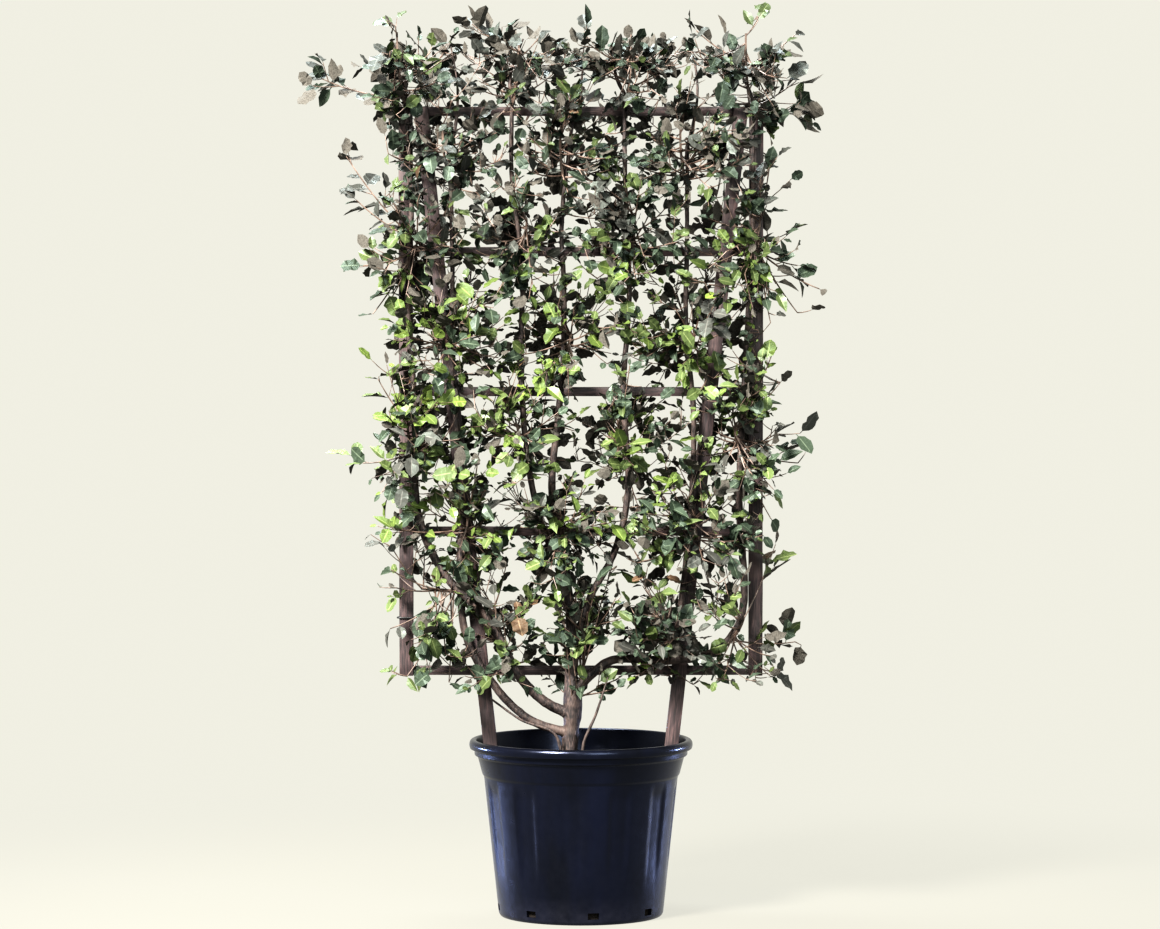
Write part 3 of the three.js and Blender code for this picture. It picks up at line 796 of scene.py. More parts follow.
@dataclass
class Compost:
    """The filling of the pot, with a crumbly mounded top. Sizes are in millimetres."""

    segments: int = 120
    wall_gap: float = 1.8
    ring: float = 5.0
    lump: float = 26.0
    lump_height: float = 7.0
    crumb: float = 7.0
    crumb_height: float = 2.2
    crumb_layer: float = 9.0
    mound: float = 9.0
    mound_reach: float = 90.0
    trunk_at: Point = (-29.0, -24.0)
    floor_gap: float = 0.3
    collar_gap: float = 2.0
    top_depth: float = 1.0
    chips: int = 220
    chip_size: Span = (3.0, 8.0)
    chip_shape: Place = (1.0, 0.6, 0.35)
    chip_rise: float = 0.08
    chip_margin: float = 8.0
    crease: float = 60.0

    def top_at(self, across: float, forward: float, level: float) -> float:
        """Gives the height of the rough top at a place, from its even level."""
        near = math.hypot(across - self.trunk_at[0], forward - self.trunk_at[1]) / self.mound_reach
        rise = self.mound * math.exp(-near * near)
        lumps = noise.noise(Vector((across, forward, 0.0)) / self.lump) * self.lump_height
        crumbs = noise.noise(Vector((across, forward, self.crumb_layer)) / self.crumb)
        return level - self.lump_height / 2 + rise + lumps + crumbs * self.crumb_height

    def build(self, pot: Pot, earth: Material) -> None:
        """Builds the filling inside the pot's wall, and chips of bark on its top."""
        level = box_of("soil")[1].z
        collar = pot.collar_foot_radius - pot.collar_wall - self.wall_gap
        inner_foot = pot.body_radius(pot.floor) - pot.body_wall - self.wall_gap
        inner_top = pot.body_top_radius - pot.body_wall - self.wall_gap
        rings = int(collar / self.ring)
        line = [
            (0.0, pot.floor + self.floor_gap),
            (inner_foot, pot.floor + self.floor_gap),
            (inner_top, pot.ledge_height),
            (collar, pot.ledge_height + pot.step + self.collar_gap),
            *[(collar * (1 - ring / rings), level) for ring in range(rings + 1)],
        ]
        shape = spun(line, self.segments)
        for vert in shape.verts:
            if vert.co.z > level - self.top_depth:
                vert.co.z = self.top_at(vert.co.x, vert.co.y, level)
        draw = Seeded(self.chips)
        for _ in range(self.chips):
            self.lay_chip(shape, draw, collar - self.chip_margin, level)
        piece_from_bmesh(shape, "compost", [earth], ["soil"], self.crease)

    def lay_chip(self, shape: Shape, draw: "Seeded", reach: float, level: float) -> None:
        """Lays one chip of bark, bedded in the top."""
        radius = reach * math.sqrt(draw())
        azimuth = math.tau * draw()
        across, forward = radius * math.sin(azimuth), -radius * math.cos(azimuth)
        size = draw.within(self.chip_size)
        chip = bmesh.ops.create_icosphere(shape, subdivisions=1, radius=size / 2)["verts"]
        bmesh.ops.scale(shape, vec=self.chip_shape, verts=chip)
        turn = Matrix.Rotation(math.tau * draw(), 3, "Z") @ Matrix.Rotation(draw() - 0.5, 3, "X")
        bmesh.ops.rotate(shape, cent=(0.0, 0.0, 0.0), matrix=turn, verts=chip)
        height = self.top_at(across, forward, level) + size * self.chip_rise
        bmesh.ops.translate(shape, vec=(across, forward, height), verts=chip)


class Seeded:
    """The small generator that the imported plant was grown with, so that it grows the same here."""

    spread = 2654435761
    factor = 1664525
    stride = 1013904223
    numbers = 2**32

    def __init__(self, seed: int) -> None:
        """Starts from a whole number."""
        self.state = seed * self.spread % self.numbers

    def __call__(self) -> float:
        """Draws the next number, from 0 up to 1."""
        self.state = (self.state * self.factor + self.stride) % self.numbers
        return self.state / self.numbers

    def within(self, span: Sequence[float]) -> float:
        """Draws a number between the two ends of a span."""
        return lerp(span[0], span[1], self())


@dataclass
class Trellis:
    """The frame of stained laths: rails nailed behind four uprights. Sizes are in millimetres."""

    lath_width: float = 28.0
    lath_thickness: float = 16.0
    leg_reach_at_rim: float = 184.0
    rim_height: float = 355.0
    leg_slope: float = 0.108
    leg_foot: float = 262.0
    leg_point: float = 40.0
    front: float = 12.0
    piece_length: float = 24.0
    corner: float = 1.3
    corner_steps: int = 2
    warp: float = 0.45
    warp_width: float = 14.0
    warp_run: float = 90.0
    warp_apart: float = 7.3
    grain_apart: Place = (37.0, 11.0, 301.0)
    upright_seed: float = 7.0
    leg_seed: float = 11.0
    nail_radius: float = 3.2
    nail_height: float = 1.4
    nail_sides: tuple[int, int] = (12, 6)
    rails: list[str] = field(default_factory=lambda: [f"trellis_rail_{i}" for i in range(1, 6)])
    outer_reach: float = field(init=False)

    def __post_init__(self) -> None:
        """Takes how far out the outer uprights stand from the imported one."""
        low, high = box_of("trellis_upright_right")
        self.outer_reach = (low.x + high.x) / 2

    def lath(self, size: Sequence[float], seed: float) -> Shape:
        """Makes one sawn lath along Z, centred on the origin.

        Args:
            size: its width, thickness and length.
            seed: a number that gives it its own grain and unevenness.

        Returns:
            The lath, with its grain in an attribute.
        """
        shape = bmesh.new()
        bmesh.ops.create_cube(shape, size=1.0)
        bmesh.ops.scale(shape, vec=size, verts=shape.verts)
        bmesh.ops.bevel(
            shape,
            geom=shape.edges[:],
            offset=self.corner,
            offset_type="OFFSET",
            segments=self.corner_steps,
            profile=0.5,
            affect="EDGES",
            material=-1,
        )
        half = size[2] / 2
        lengthways = [edge for edge in shape.edges if abs(edge.verts[0].co.z - edge.verts[1].co.z) > half]
        cuts = int(size[2] / self.piece_length)
        bmesh.ops.subdivide_edges(shape, edges=lengthways, cuts=cuts, use_grid_fill=True)
        grain = shape.verts.layers.float_vector.new("grain")
        shape.normal_update()
        apart = Vector(self.grain_apart) * seed
        for vert in shape.verts:
            vert[grain] = vert.co + apart
        for vert in shape.verts:
            across, deep = vert.co.x / self.warp_width, vert.co.y / self.warp_width
            place = Vector((across, deep, vert.co.z / self.warp_run + seed * self.warp_apart))
            vert.co += vert.normal * noise.noise(place) * self.warp
        return shape

    def build(self, wood: Material, zinc: Material) -> None:
        """Builds every lath in place of its packed one, and the nails."""
        for number, node in enumerate(self.rails, 1):
            low, high = box_of(node)
            size = high - low
            shape = self.lath((size.z, size.y, size.x), float(number))
            turn = Matrix.Rotation(math.pi / 2, 3, "Y")
            bmesh.ops.rotate(shape, cent=(0.0, 0.0, 0.0), matrix=turn, verts=shape.verts)
            bmesh.ops.translate(shape, vec=(low + high) / 2, verts=shape.verts)
            piece_from_bmesh(shape, f"lath_rail_{number}", [wood], [node])
        for side, name in ((-1, "left"), (1, "right")):
            node = f"trellis_upright_{name}"
            low, high = box_of(node)
            shape = self.lath(high - low, self.upright_seed + side)
            bmesh.ops.translate(shape, vec=(low + high) / 2, verts=shape.verts)
            piece_from_bmesh(shape, f"lath_upright_{name}", [wood], [node])
            leg = f"trellis_leg_{name}"
            piece_from_bmesh(self.leg(side), f"lath_leg_{name}", [wood], [leg])
        piece_from_bmesh(self.nails(), "trellis_nails", [zinc])

    def leg(self, side: int) -> Shape:
        """Makes an inner upright: a lath sharpened to a point in the ground, leaning out to a side."""
        lean = math.atan(self.leg_slope)
        top = (box_of(self.rails[-1])[1].z - self.rim_height) / math.cos(lean)
        foot = (self.leg_foot - self.rim_height) / math.cos(lean)
        size = (self.lath_width, self.lath_thickness, top - foot)
        shape = self.lath(size, self.leg_seed + side)
        bmesh.ops.translate(shape, vec=(0.0, 0.0, (top + foot) / 2), verts=shape.verts)
        half = self.lath_width / 2
        for slant in (-1, 1):
            outward = Vector((slant * self.leg_point, 0.0, -half)).normalized()
            cut = bmesh.ops.bisect_plane(
                shape,
                geom=shape.verts[:] + shape.edges[:] + shape.faces[:],
                plane_co=(0.0, 0.0, foot),
                plane_no=outward,
                clear_outer=True,
            )
            rim = [part for part in cut["geom_cut"] if isinstance(part, bmesh.types.BMEdge)]
            bmesh.ops.contextual_create(shape, geom=rim)
        turn = Matrix.Rotation(side * lean, 3, "Y")
        bmesh.ops.rotate(shape, cent=(0.0, 0.0, 0.0), matrix=turn, verts=shape.verts)
        middle = self.front + self.lath_thickness / 2
        place = (side * self.leg_reach_at_rim, middle, self.rim_height)
        bmesh.ops.translate(shape, vec=place, verts=shape.verts)
        return shape

    def leg_reach(self, height: float) -> float:
        """Gives how far out the middle of an inner upright stands at a height."""
        return self.leg_reach_at_rim + self.leg_slope * (height - self.rim_height)

    def nails(self) -> Shape:
        """Makes the nail heads on the backs of the rails, one at each upright."""
        shape = bmesh.new()
        for node in self.rails:
            low, high = box_of(node)
            height = (low.z + high.z) / 2
            for reach in (self.outer_reach, self.leg_reach(height)):
                for side in (-1, 1):
                    self.drive_nail(shape, side * reach, high.y, height)
        return shape

    def drive_nail(self, shape: Shape, across: float, back: float, height: float) -> None:
        """Drives one nail into the back of a rail, so that its domed head stands on the wood."""
        round_it, down_it = self.nail_sides
        head = bmesh.ops.create_uvsphere(
            shape, u_segments=round_it, v_segments=down_it, radius=self.nail_radius
        )["verts"]
        bmesh.ops.scale(shape, vec=(1.0, self.nail_height / self.nail_radius, 1.0), verts=head)
        bmesh.ops.translate(shape, vec=(across, back, height), verts=head)


@dataclass(frozen=True)
class Strand:
    """A stretch of round wood or tube: the points of its middle line and its radius at each."""

    points: Line
    radii: Sequence[float]
    closed: bool = False


def tubes(name: str, strands: Iterable[Strand], fineness: int) -> Shape:
    """Makes closed round tubes, which all share one shape.

    Args:
        name: a name for the curve that they are made from.
        strands: the tubes, in millimetres.
        fineness: how many sides past four each has, in pairs.

    Returns:
        The tubes as a shape in millimetres.
    """
    curve = bpy.data.curves.new(name, "CURVE")
    curve.dimensions = "3D"
    curve.fill_mode = "FULL"
    curve.bevel_depth = 1.0
    curve.bevel_resolution = fineness
    curve.use_fill_caps = True
    for strand in strands:
        spline = curve.splines.new("POLY")
        spline.points.add(len(strand.points) - 1)
        spline.use_cyclic_u = strand.closed
        for point, place, radius in zip(spline.points, strand.points, strand.radii):
            point.co = (*place, 1.0)
            point.radius = radius
    carrier = put(name, curve)
    graph = bpy.context.evaluated_depsgraph_get()
    mesh = bpy.data.meshes.new_from_object(carrier.evaluated_get(graph), depsgraph=graph)
    bpy.data.objects.remove(carrier)
    bpy.data.curves.remove(curve)
    shape = bmesh.new()
    shape.from_mesh(mesh)
    bpy.data.meshes.remove(mesh)
    bmesh.ops.remove_doubles(shape, verts=shape.verts, dist=TUBE_WELD)
    bmesh.ops.recalc_face_normals(shape, faces=shape.faces)
    return shape


class Route:
    """A centripetal Catmull-Rom curve through points, read by share of its length."""

    samples = 200

    def __init__(self, points: Sequence[Sequence[float]]) -> None:
        """Takes the points that the curve passes through."""
        through = [Vector(point) for point in points]
        before = through[0] * 2 - through[1]
        after = through[-1] * 2 - through[-2]
        self.knots = [before, *through, after]
        self.line = [self.at_knots(i / self.samples * (len(through) - 1)) for i in range(self.samples + 1)]
        steps = [(b - a).length for a, b in zip(self.line, self.line[1:])]
        self.lengths = np.concatenate([[0.0], np.cumsum(steps)])

    def at_knots(self, place: float) -> Vector:
        """Gives the point at a place counted in stretches between points."""
        first = min(int(place), len(self.knots) - 4)
        p0, p1, p2, p3 = self.knots[first : first + 4]
        gap0, gap1, gap2 = (math.sqrt((b - a).length) for a, b in ((p0, p1), (p1, p2), (p2, p3)))
        slope1 = ((p1 - p0) / gap0 - (p2 - p0) / (gap0 + gap1) + (p2 - p1) / gap1) * gap1
        slope2 = ((p2 - p1) / gap1 - (p3 - p1) / (gap1 + gap2) + (p3 - p2) / gap2) * gap1
        t = place - first
        square, cube = t * t, t * t * t
        start = p1 * (2 * cube - 3 * square + 1) + slope1 * (cube - 2 * square + t)
        return start + p2 * (3 * square - 2 * cube) + slope2 * (cube - square)

    @property
    def length(self) -> float:
        """The length of the curve."""
        return float(self.lengths[-1])

    def at(self, share: float) -> Vector:
        """Gives the point at a share of the curve's length."""
        place = float(np.interp(share * self.length, self.lengths, np.arange(len(self.lengths))))
        before = min(int(place), self.samples - 1)
        return self.line[before].lerp(self.line[before + 1], place - before)


@dataclass(frozen=True)
class Bough:
    """One bough, in millimetres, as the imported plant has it."""

    name: str
    column: int
    parent: str
    share: float
    bends: tuple[Place, ...]
    tip: Place
    radii: Span
    split: bool

    @property
    def nodes(self) -> tuple[str, ...]:
        """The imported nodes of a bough, which is two pieces where it bends round a gap."""
        node = f"bough_{self.name}"
        return (f"{node}_arm", node) if self.split else (node,)


BOUGHS = (
    Bough(
        "left", 1, "trunk", 0.21,
        ((-92, -28, 391), (-138, -24, 424), (-178, -16, 470), (-226, -8, 548), (-242, -6, 650)),
        (-262, -6, 1530), (8.5, 4), True,
    ),
    Bough(
        "far_left", 0, "trunk", 0.29,
        ((-74, -34, 434), (-126, -38, 488), (-182, -38, 596), (-272, -34, 688), (-326, -22, 810)),
        (-352, -8, 1640), (10, 4), True,
    ),
    Bough(
        "far_right", 6, "trunk", 0.38,
        ((22, -26, 488), (62, -20, 515), (176, -14, 515), (256, -10, 526), (318, -8, 590)),
        (342, -6, 1636), (9, 4), True,
    ),
    Bough(
        "mid_right", 4, "trunk", 0.55,
        ((18, -14, 640), (66, -10, 730), (94, -8, 850)),
        (86, -6, 1650), (7.5, 4), False,
    ),
    Bough(
        "mid_left", 2, "trunk", 0.9,
        ((-74, -12, 774), (-95, -10, 850), (-112, -8, 960)),
        (-138, -6, 1644), (7, 4), False,
    ),
    Bough(
        "centre", 3, "trunk", 0.98,
        ((-54, -9, 790), (-58, -8, 880), (-46, -7, 1000)),
        (-26, -6, 1520), (8, 4), False,
    ),
    Bough(
        "right", 5, "far_right", 0.15,
        ((192, -8, 580), (208, -8, 690), (220, -7, 820)),
        (212, -6, 1540), (6.5, 4), False,
    ),
)


@dataclass
class Limbs:
    """The trunk, the boughs and the bare shoots. Sizes are in millimetres."""

    trunk_stations: tuple[tuple[Place, float], ...] = (
        ((-32, -24, 270), 30.0),
        ((-29, -24, 298), 25.0),
        ((-25, -24, 322), 16.5),
        ((-20, -24, 376), 14.5),
        ((-16, -24, 430), 18.5),
        ((-19, -24, 478), 12.5),
        ((-18, -22, 560), 11.0),
        ((-26, -18, 650), 10.0),
        ((-46, -12, 735), 8.5),
    )
    shoots: tuple[tuple[str, tuple[Place, ...]], ...] = (
        (
            "shoot_left",
            ((-40, -58, 270), (-42, -58, 345), (-56, -58, 374), (-118, -56, 398), (-182, -52, 442)),
        ),
        ("shoot_right", ((2, -56, 270), (5, -56, 350), (29, -56, 408), (54, -54, 484))),
    )
    shoot_radii: Span = (4.0, 1.8)
    climb_points: int = 3
    climb_sway: float = 8.0
    climb_turn: float = 2.1
    ring: float = 5.0
    fewest_rings: int = 6
    bark_size: float = 11.0
    bark_stretch: float = 3.2
    bark_layers: tuple[float, float, int] = (0.9, 2.1, 4)
    bark_depth: float = 0.15
    knot_reach: float = 17.0
    knot_swell: float = 0.32
    trunk_girth: float = 13.0
    shoot_girth: float = 2.5
    trunk_fineness: int = 10
    bough_fineness: int = 4
    shoot_fineness: int = 2
    crease: float = 70.0
    flare: float = 0.5
    flare_reach: float = 14.0
    leader_top: float = 1742.0
    leader_sway: float = 16.0
    leader_turn: float = 1.9
    leader_bend: float = 3.0
    leader_forward: float = 4.0
    leader_radius: float = 1.5
    leader_steps: int = 14
    routes: dict[str, Route] = field(default_factory=dict)

    def trunk_radius(self, height: float) -> float:
        """Gives the trunk's radius at a height."""
        for (low, low_radius), (high, high_radius) in zip(self.trunk_stations, self.trunk_stations[1:]):
            if height <= high[2]:
                return lerp(low_radius, high_radius, smooth(height, low[2], high[2]))
        return self.trunk_stations[-1][1]

    def lay_routes(self) -> None:
        """Lays the middle lines of the trunk and the boughs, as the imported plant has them."""
        self.routes["trunk"] = Route([place for place, _ in self.trunk_stations])
        for order, bough in enumerate(BOUGHS):
            points = [self.routes[bough.parent].at(bough.share), *map(Vector, bough.bends)]
            last, tip = Vector(bough.bends[-1]), Vector(bough.tip)
            for step in range(1, self.climb_points + 1):
                point = last.lerp(tip, step / (self.climb_points + 1))
                point.x += self.climb_sway * math.sin(self.climb_turn * step + order)
                points.append(point)
            self.routes[bough.name] = Route([*points, tip])

    def strand(self, route: Route, radius_at: Callable[[float, Vector], float]) -> Strand:
        """Makes a limb's strand from its route and a function of the share and the point."""
        steps = max(self.fewest_rings, int(route.length / self.ring))
        points = [route.at(step / steps) for step in range(steps + 1)]
        radii = [radius_at(step / steps, point) for step, point in enumerate(points)]
        return Strand(points, radii)

    def flared(self, share: float, route: Route) -> float:
        """Gives how many times thicker a bough is near its foot, where it grows out of its parent."""
        return 1.0 + self.flare * math.exp(-share * route.length / self.flare_reach)

    def with_leader(self, strand: Strand, order: int) -> Strand:
        """Carries a bough's strand on above its tip as a thin leader among the topmost sprays."""
        tip = strand.points[-1]
        top = self.leader_top + self.leader_sway * math.sin(order * self.leader_turn)
        points, radii = list(strand.points), list(strand.radii)
        for step in range(1, self.leader_steps + 1):
            share = step / self.leader_steps
            bend = self.leader_sway * math.sin(self.leader_bend * share + order)
            across = tip.x + (bend - self.leader_sway * math.sin(order))
            forward = tip.y - self.leader_forward * share
            points.append(Vector((across, forward, lerp(tip.z, top, share))))
            radii.append(lerp(strand.radii[-1], self.leader_radius, share))
        return Strand(points, radii)

    def add_bark(self, shape: Shape, girth: float, knots: Line) -> None:
        """Raises the bark's ridges and the swellings where other limbs leave.

        Args:
            shape: the bare limb.
            girth: the limb's usual radius, which the relief is in proportion to.
            knots: the places of the swellings.
        """
        shape.normal_update()
        moves = []
        for vert in shape.verts:
            size = self.bark_size
            place = Vector((vert.co.x / size, vert.co.y / size, vert.co.z / size / self.bark_stretch))
            lift = noise.fractal(place, *self.bark_layers) * self.bark_depth * girth
            for knot in knots:
                near = (vert.co - knot).length / self.knot_reach
                lift += self.knot_swell * girth * math.exp(-near * near)
            moves.append(vert.normal * lift)
        for vert, move in zip(shape.verts, moves):
            vert.co += move

    def build(self, bark: Material) -> None:
        """Builds the trunk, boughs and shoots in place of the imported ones."""
        leaving = [self.routes[bough.parent].at(bough.share) for bough in BOUGHS]
        trunk = self.strand(self.routes["trunk"], lambda _, point: self.trunk_radius(point.z))
        shape = tubes("trunk", [trunk], self.trunk_fineness)
        self.add_bark(shape, self.trunk_girth, leaving)
        piece_from_bmesh(shape, "bark_trunk", [bark], ["trunk"], self.crease)
        for order, bough in enumerate(BOUGHS):
            foot, tip = bough.radii
            route = self.routes[bough.name]
            strand = self.strand(route, lambda share, _: lerp(foot, tip, share) * self.flared(share, route))
            shape = tubes(bough.name, [self.with_leader(strand, order)], self.bough_fineness)
            self.add_bark(shape, (foot + tip) / 2, leaving)
            piece_from_bmesh(shape, f"bark_{bough.name}", [bark], bough.nodes, self.crease)
        for name, points in self.shoots:
            strand = self.strand(Route(points), lambda share, _: lerp(*self.shoot_radii, share))
            shape = tubes(name, [strand], self.shoot_fineness)
            self.add_bark(shape, self.shoot_girth, [])
            piece_from_bmesh(shape, f"bark_{name}", [bark], [name], self.crease)


@dataclass
class Ties:
    """The loops of plastic tube that hold the boughs to the rails. Sizes are in millimetres."""

    tube_radius: float = 1.5
    slack: float = 4.0
    half_length: float = 15.0
    tube_fineness: int = 2
    squareness: float = 0.45
    clearance: float = 0.3
    lath_ties: tuple[Span, ...] = ((-351.0, 598.0), (351.0, 930.0))
    lath_middle: float = 20.0
    lath_reach: Span = (18.2, 11.2)
    turn_steps: int = 28
    chance: float = 0.62
    seed: int = 77
    crease: float = 60.0

    def squared(self, wave: float) -> float:
        """Makes a wave between -1 and 1 squarer, so that it turns a circle into a rounded square."""
        return math.copysign(abs(wave) ** self.squareness, wave)

    def loop(self, middle: Vector, reach: float, front: float, back: float, lean: float) -> Strand:
        """Makes one squarish loop of tube round what it ties.

        Args:
            middle: the middle of what it ties, as seen from the front.
            reach: how far it goes to each side.
            front: how far forward it passes.
            back: how far back it passes.
            lean: its rise for each unit across.

        Returns:
            The closed loop of tube.
        """
        points = []
        for step in range(self.turn_steps):
            turn = math.tau * step / self.turn_steps
            sideways = self.squared(math.cos(turn)) * reach
            forward = lerp(front, back, (self.squared(math.sin(turn)) + 1) / 2)
            points.append(Vector((middle.x + sideways, forward, middle.z + lean * sideways)))
        return Strand(points, [self.tube_radius] * len(points), closed=True)

    def build(self, limbs: Limbs, trellis: Trellis, tube: Material) -> None:
        """Ties each bough to some of the rails that it crosses."""
        draw = Seeded(self.seed)
        loops = []
        for bough in BOUGHS:
            route = limbs.routes[bough.name]
            for node in trellis.rails:
                low, high = box_of(node)
                height = (low.z + high.z) / 2
                shares = (step / Route.samples for step in range(Route.samples + 1))
                share = next((share for share in shares if route.at(share).z > height), None)
                lean = 1 if draw() < 0.5 else -1
                if share is None or draw() > self.chance:
                    continue
                middle = route.at(share)
                front = middle.y - lerp(*bough.radii, share) - self.tube_radius - self.slack / 2
                back = high.y + self.tube_radius + self.clearance
                loops.append(self.loop(middle, self.half_length / math.sqrt(2), front, back, lean))
        reach, depth = self.lath_reach
        for across, height in self.lath_ties:
            middle = Vector((across, 0.0, height))
            front, back = self.lath_middle - depth, self.lath_middle + depth
            loops.append(self.loop(middle, reach, front, back, 0.0))
        shape = tubes("ties", loops, self.tube_fineness)
        piece_from_bmesh(shape, "stem_ties", [tube], crease=self.crease)


class LeafKind(Enum):
    """The colours that leaves are dealt out in, spray by spray: name, upper face and midrib."""

    DEEP = ("deep", "#2b332a", "#525b4e")
    GREY = ("grey", "#373735", "#575653")
    MID = ("mid", "#3f492c", "#6a724f")
    FRESH = ("fresh", "#404c26", "#687344")
    LIME = ("lime", "#5a6834", "#87924f")
    TURNED = ("turned", "#4d3d31", "#7a6a57")


@dataclass(frozen=True)
class LeafShape:
    """One outline of leaf. Widths are shares of its half width, the rest shares of its length."""

    left: tuple[float, ...]
    right: tuple[float, ...]
    fold: float
    curl: float
    wave: float
    stations: tuple[float, ...] = (0.0, 0.13, 0.25, 0.39, 0.53, 0.68, 0.84, 1.0)
    half_width: float = 0.29
    ripple: float = 2.2
    rib: float = 0.012

    def arrays(self) -> tuple[np.ndarray, np.ndarray, np.ndarray, np.ndarray]:
        """Makes the leaf, one unit long, as a thin closed blade on its stalk.

        Returns:
            Its points, its triangles, the side of each triangle (0 upper, 1 under), and the place
            of each point across and along the blade.
        """
        shape = bmesh.new()
        blade = shape.verts.layers.float_vector.new("blade")
        last = len(self.stations) - 1
        bmesh.ops.create_grid(shape, x_segments=2, y_segments=last, size=0.5)
        for vert in shape.verts:
            side = round(vert.co.x * 2)
            station = round((vert.co.y + 0.5) * last)
            along = self.stations[station]
            width = (self.left if side < 0 else self.right)[station]
            half = self.half_width * width
            vert[blade] = (side, along, 0.0)
            lift = self.fold * half * abs(side) - self.curl * along * along
            lift += self.wave * width * abs(side) * math.sin(station * self.ripple + side)
            vert.co = (side * half, along, lift)
        upper = shape.faces[:]
        under = bmesh.ops.duplicate(shape, geom=shape.verts[:] + shape.edges[:] + upper)["geom"]
        under_faces = [part for part in under if isinstance(part, bmesh.types.BMFace)]
        for part in under:
            if isinstance(part, bmesh.types.BMVert) and part[blade].x == 0 and 0 < part[blade].y < 1:
                part.co.z -= self.rib
        bmesh.ops.reverse_faces(shape, faces=under_faces)
        for face in under_faces:
            face.material_index = 1
        bmesh.ops.remove_doubles(shape, verts=shape.verts, dist=LEAF_WELD)
        bmesh.ops.triangulate(shape, faces=shape.faces[:])
        shape.verts.index_update()
        points = np.array([vert.co[:] for vert in shape.verts])
        triangles = np.array([[vert.index for vert in face.verts] for face in shape.faces])
        sides = np.array([face.material_index for face in shape.faces])
        places = np.array([vert[blade][:] for vert in shape.verts])
        shape.free()
        return points, triangles, sides, places


LEAF_SHAPES = (
    LeafShape(
        (0.05, 0.07, 0.66, 1.00, 0.90, 1.02, 0.66, 0.0), (0.05, 0.07, 0.80, 0.88, 1.06, 0.86, 0.74, 0.0),
        fold=0.24, curl=0.12, wave=0.040,
    ),
    LeafShape(
        (0.05, 0.07, 0.84, 0.86, 1.04, 0.82, 0.72, 0.0), (0.05, 0.07, 0.62, 1.02, 0.88, 0.98, 0.60, 0.0),
        fold=0.34, curl=0.20, wave=0.055,
    ),
    LeafShape(
        (0.05, 0.07, 0.76, 0.92, 1.00, 0.94, 0.70, 0.0), (0.05, 0.07, 0.72, 0.98, 0.96, 1.00, 0.66, 0.0),
        fold=0.14, curl=0.06, wave=0.030,
    ),
    LeafShape(
        (0.05, 0.07, 0.96, 1.04, 1.16, 1.02, 0.88, 0.0), (0.05, 0.07, 0.84, 1.16, 1.04, 1.12, 0.80, 0.0),
        fold=0.12, curl=0.14, wave=0.060,
    ),
    LeafShape(
        (0.05, 0.07, 0.50, 0.70, 0.80, 0.62, 0.40, 0.0), (0.05, 0.07, 0.46, 0.78, 0.70, 0.68, 0.32, 0.0),
        fold=0.40, curl=0.26, wave=0.025,
    ),
)


@dataclass(frozen=True)
class Leaf:
    """One leaf: where its stalk starts, the way that it runs, the way that it faces, and its size."""

    root: Vector
    direction: Vector
    facing: Vector
    length: float
    shape: int
    # Random lightness times painted shade by height, which darkens the crown's top and foot.
    tone: float


def joined_leaves(name: str, leaves: Sequence[Leaf]) -> bpy.types.Mesh:
    """Joins leaves into one mesh in metres, from the arrays of their shapes.

    Args:
        name: the mesh's name.
        leaves: the leaves, in millimetres.

    Returns:
        The mesh, whose faces have material 0 above and 1 below.
    """
    patterns = [shape.arrays() for shape in LEAF_SHAPES]
    points, triangles, sides, places = [], [], [], []
    count = 0
    for leaf in leaves:
        pattern, corners, faces, blade = patterns[leaf.shape]
        across = leaf.direction.cross(leaf.facing).normalized()
        up = across.cross(leaf.direction).normalized()
        axes = np.array([across[:], leaf.direction[:], up[:]]) * leaf.length
        points.append(pattern @ axes + np.array(leaf.root[:]))
        triangles.append(corners + count)
        sides.append(faces)
        tone = np.full((len(blade), 1), leaf.tone)
        places.append(np.hstack([blade[:, :2], tone]))
        count += len(pattern)
    mesh = bpy.data.meshes.new(name)
    mesh.from_pydata((np.concatenate(points) * MM).tolist(), [], np.concatenate(triangles).tolist())
    mesh.polygons.foreach_set("material_index", np.concatenate(sides).astype(np.int32))
    attribute = mesh.attributes.new("blade", "FLOAT_VECTOR", "POINT")
    attribute.data.foreach_set("vector", np.concatenate(places).astype(np.float32).ravel())
    mesh.update()
    return mesh


@dataclass(frozen=True)
class Mass:
    """One mass of foliage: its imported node, the limb that it grows from, its heart and its seed."""

    node: str
    limb: str
    across: float
    height: float
    seed: int


def turned_from(axis: Vector, spread: float, azimuth: float) -> Vector:
    """Gives a direction turned away from an axis by a spread, at an azimuth round it, in degrees."""
    side = Vector((0.0, 0.0, 1.0)).cross(axis)
    side = side.normalized() if side.length > 1e-4 else Vector((1.0, 0.0, 0.0))
    outward = Matrix.Rotation(math.radians(azimuth), 3, axis) @ side
    angle = math.radians(spread)
    return axis * math.cos(angle) + outward * math.sin(angle)


def bent(foot: Vector, elbow: Vector, tip: Vector, steps: int) -> list[Vector]:
    """Gives the points of a curve from foot to tip that leans towards an elbow."""
    shares = [step / steps for step in range(steps + 1)]
    return [foot.lerp(elbow, share).lerp(elbow.lerp(tip, share), share) for share in shares]


def sagging(foot: Vector, tip: Vector, drop: float, steps: int) -> list[Vector]:
    """Gives the points of a curve from foot to tip that leans towards a drop below its middle."""
    return bent(foot, foot.lerp(tip, 0.5) - Vector((0.0, 0.0, drop)), tip, steps)


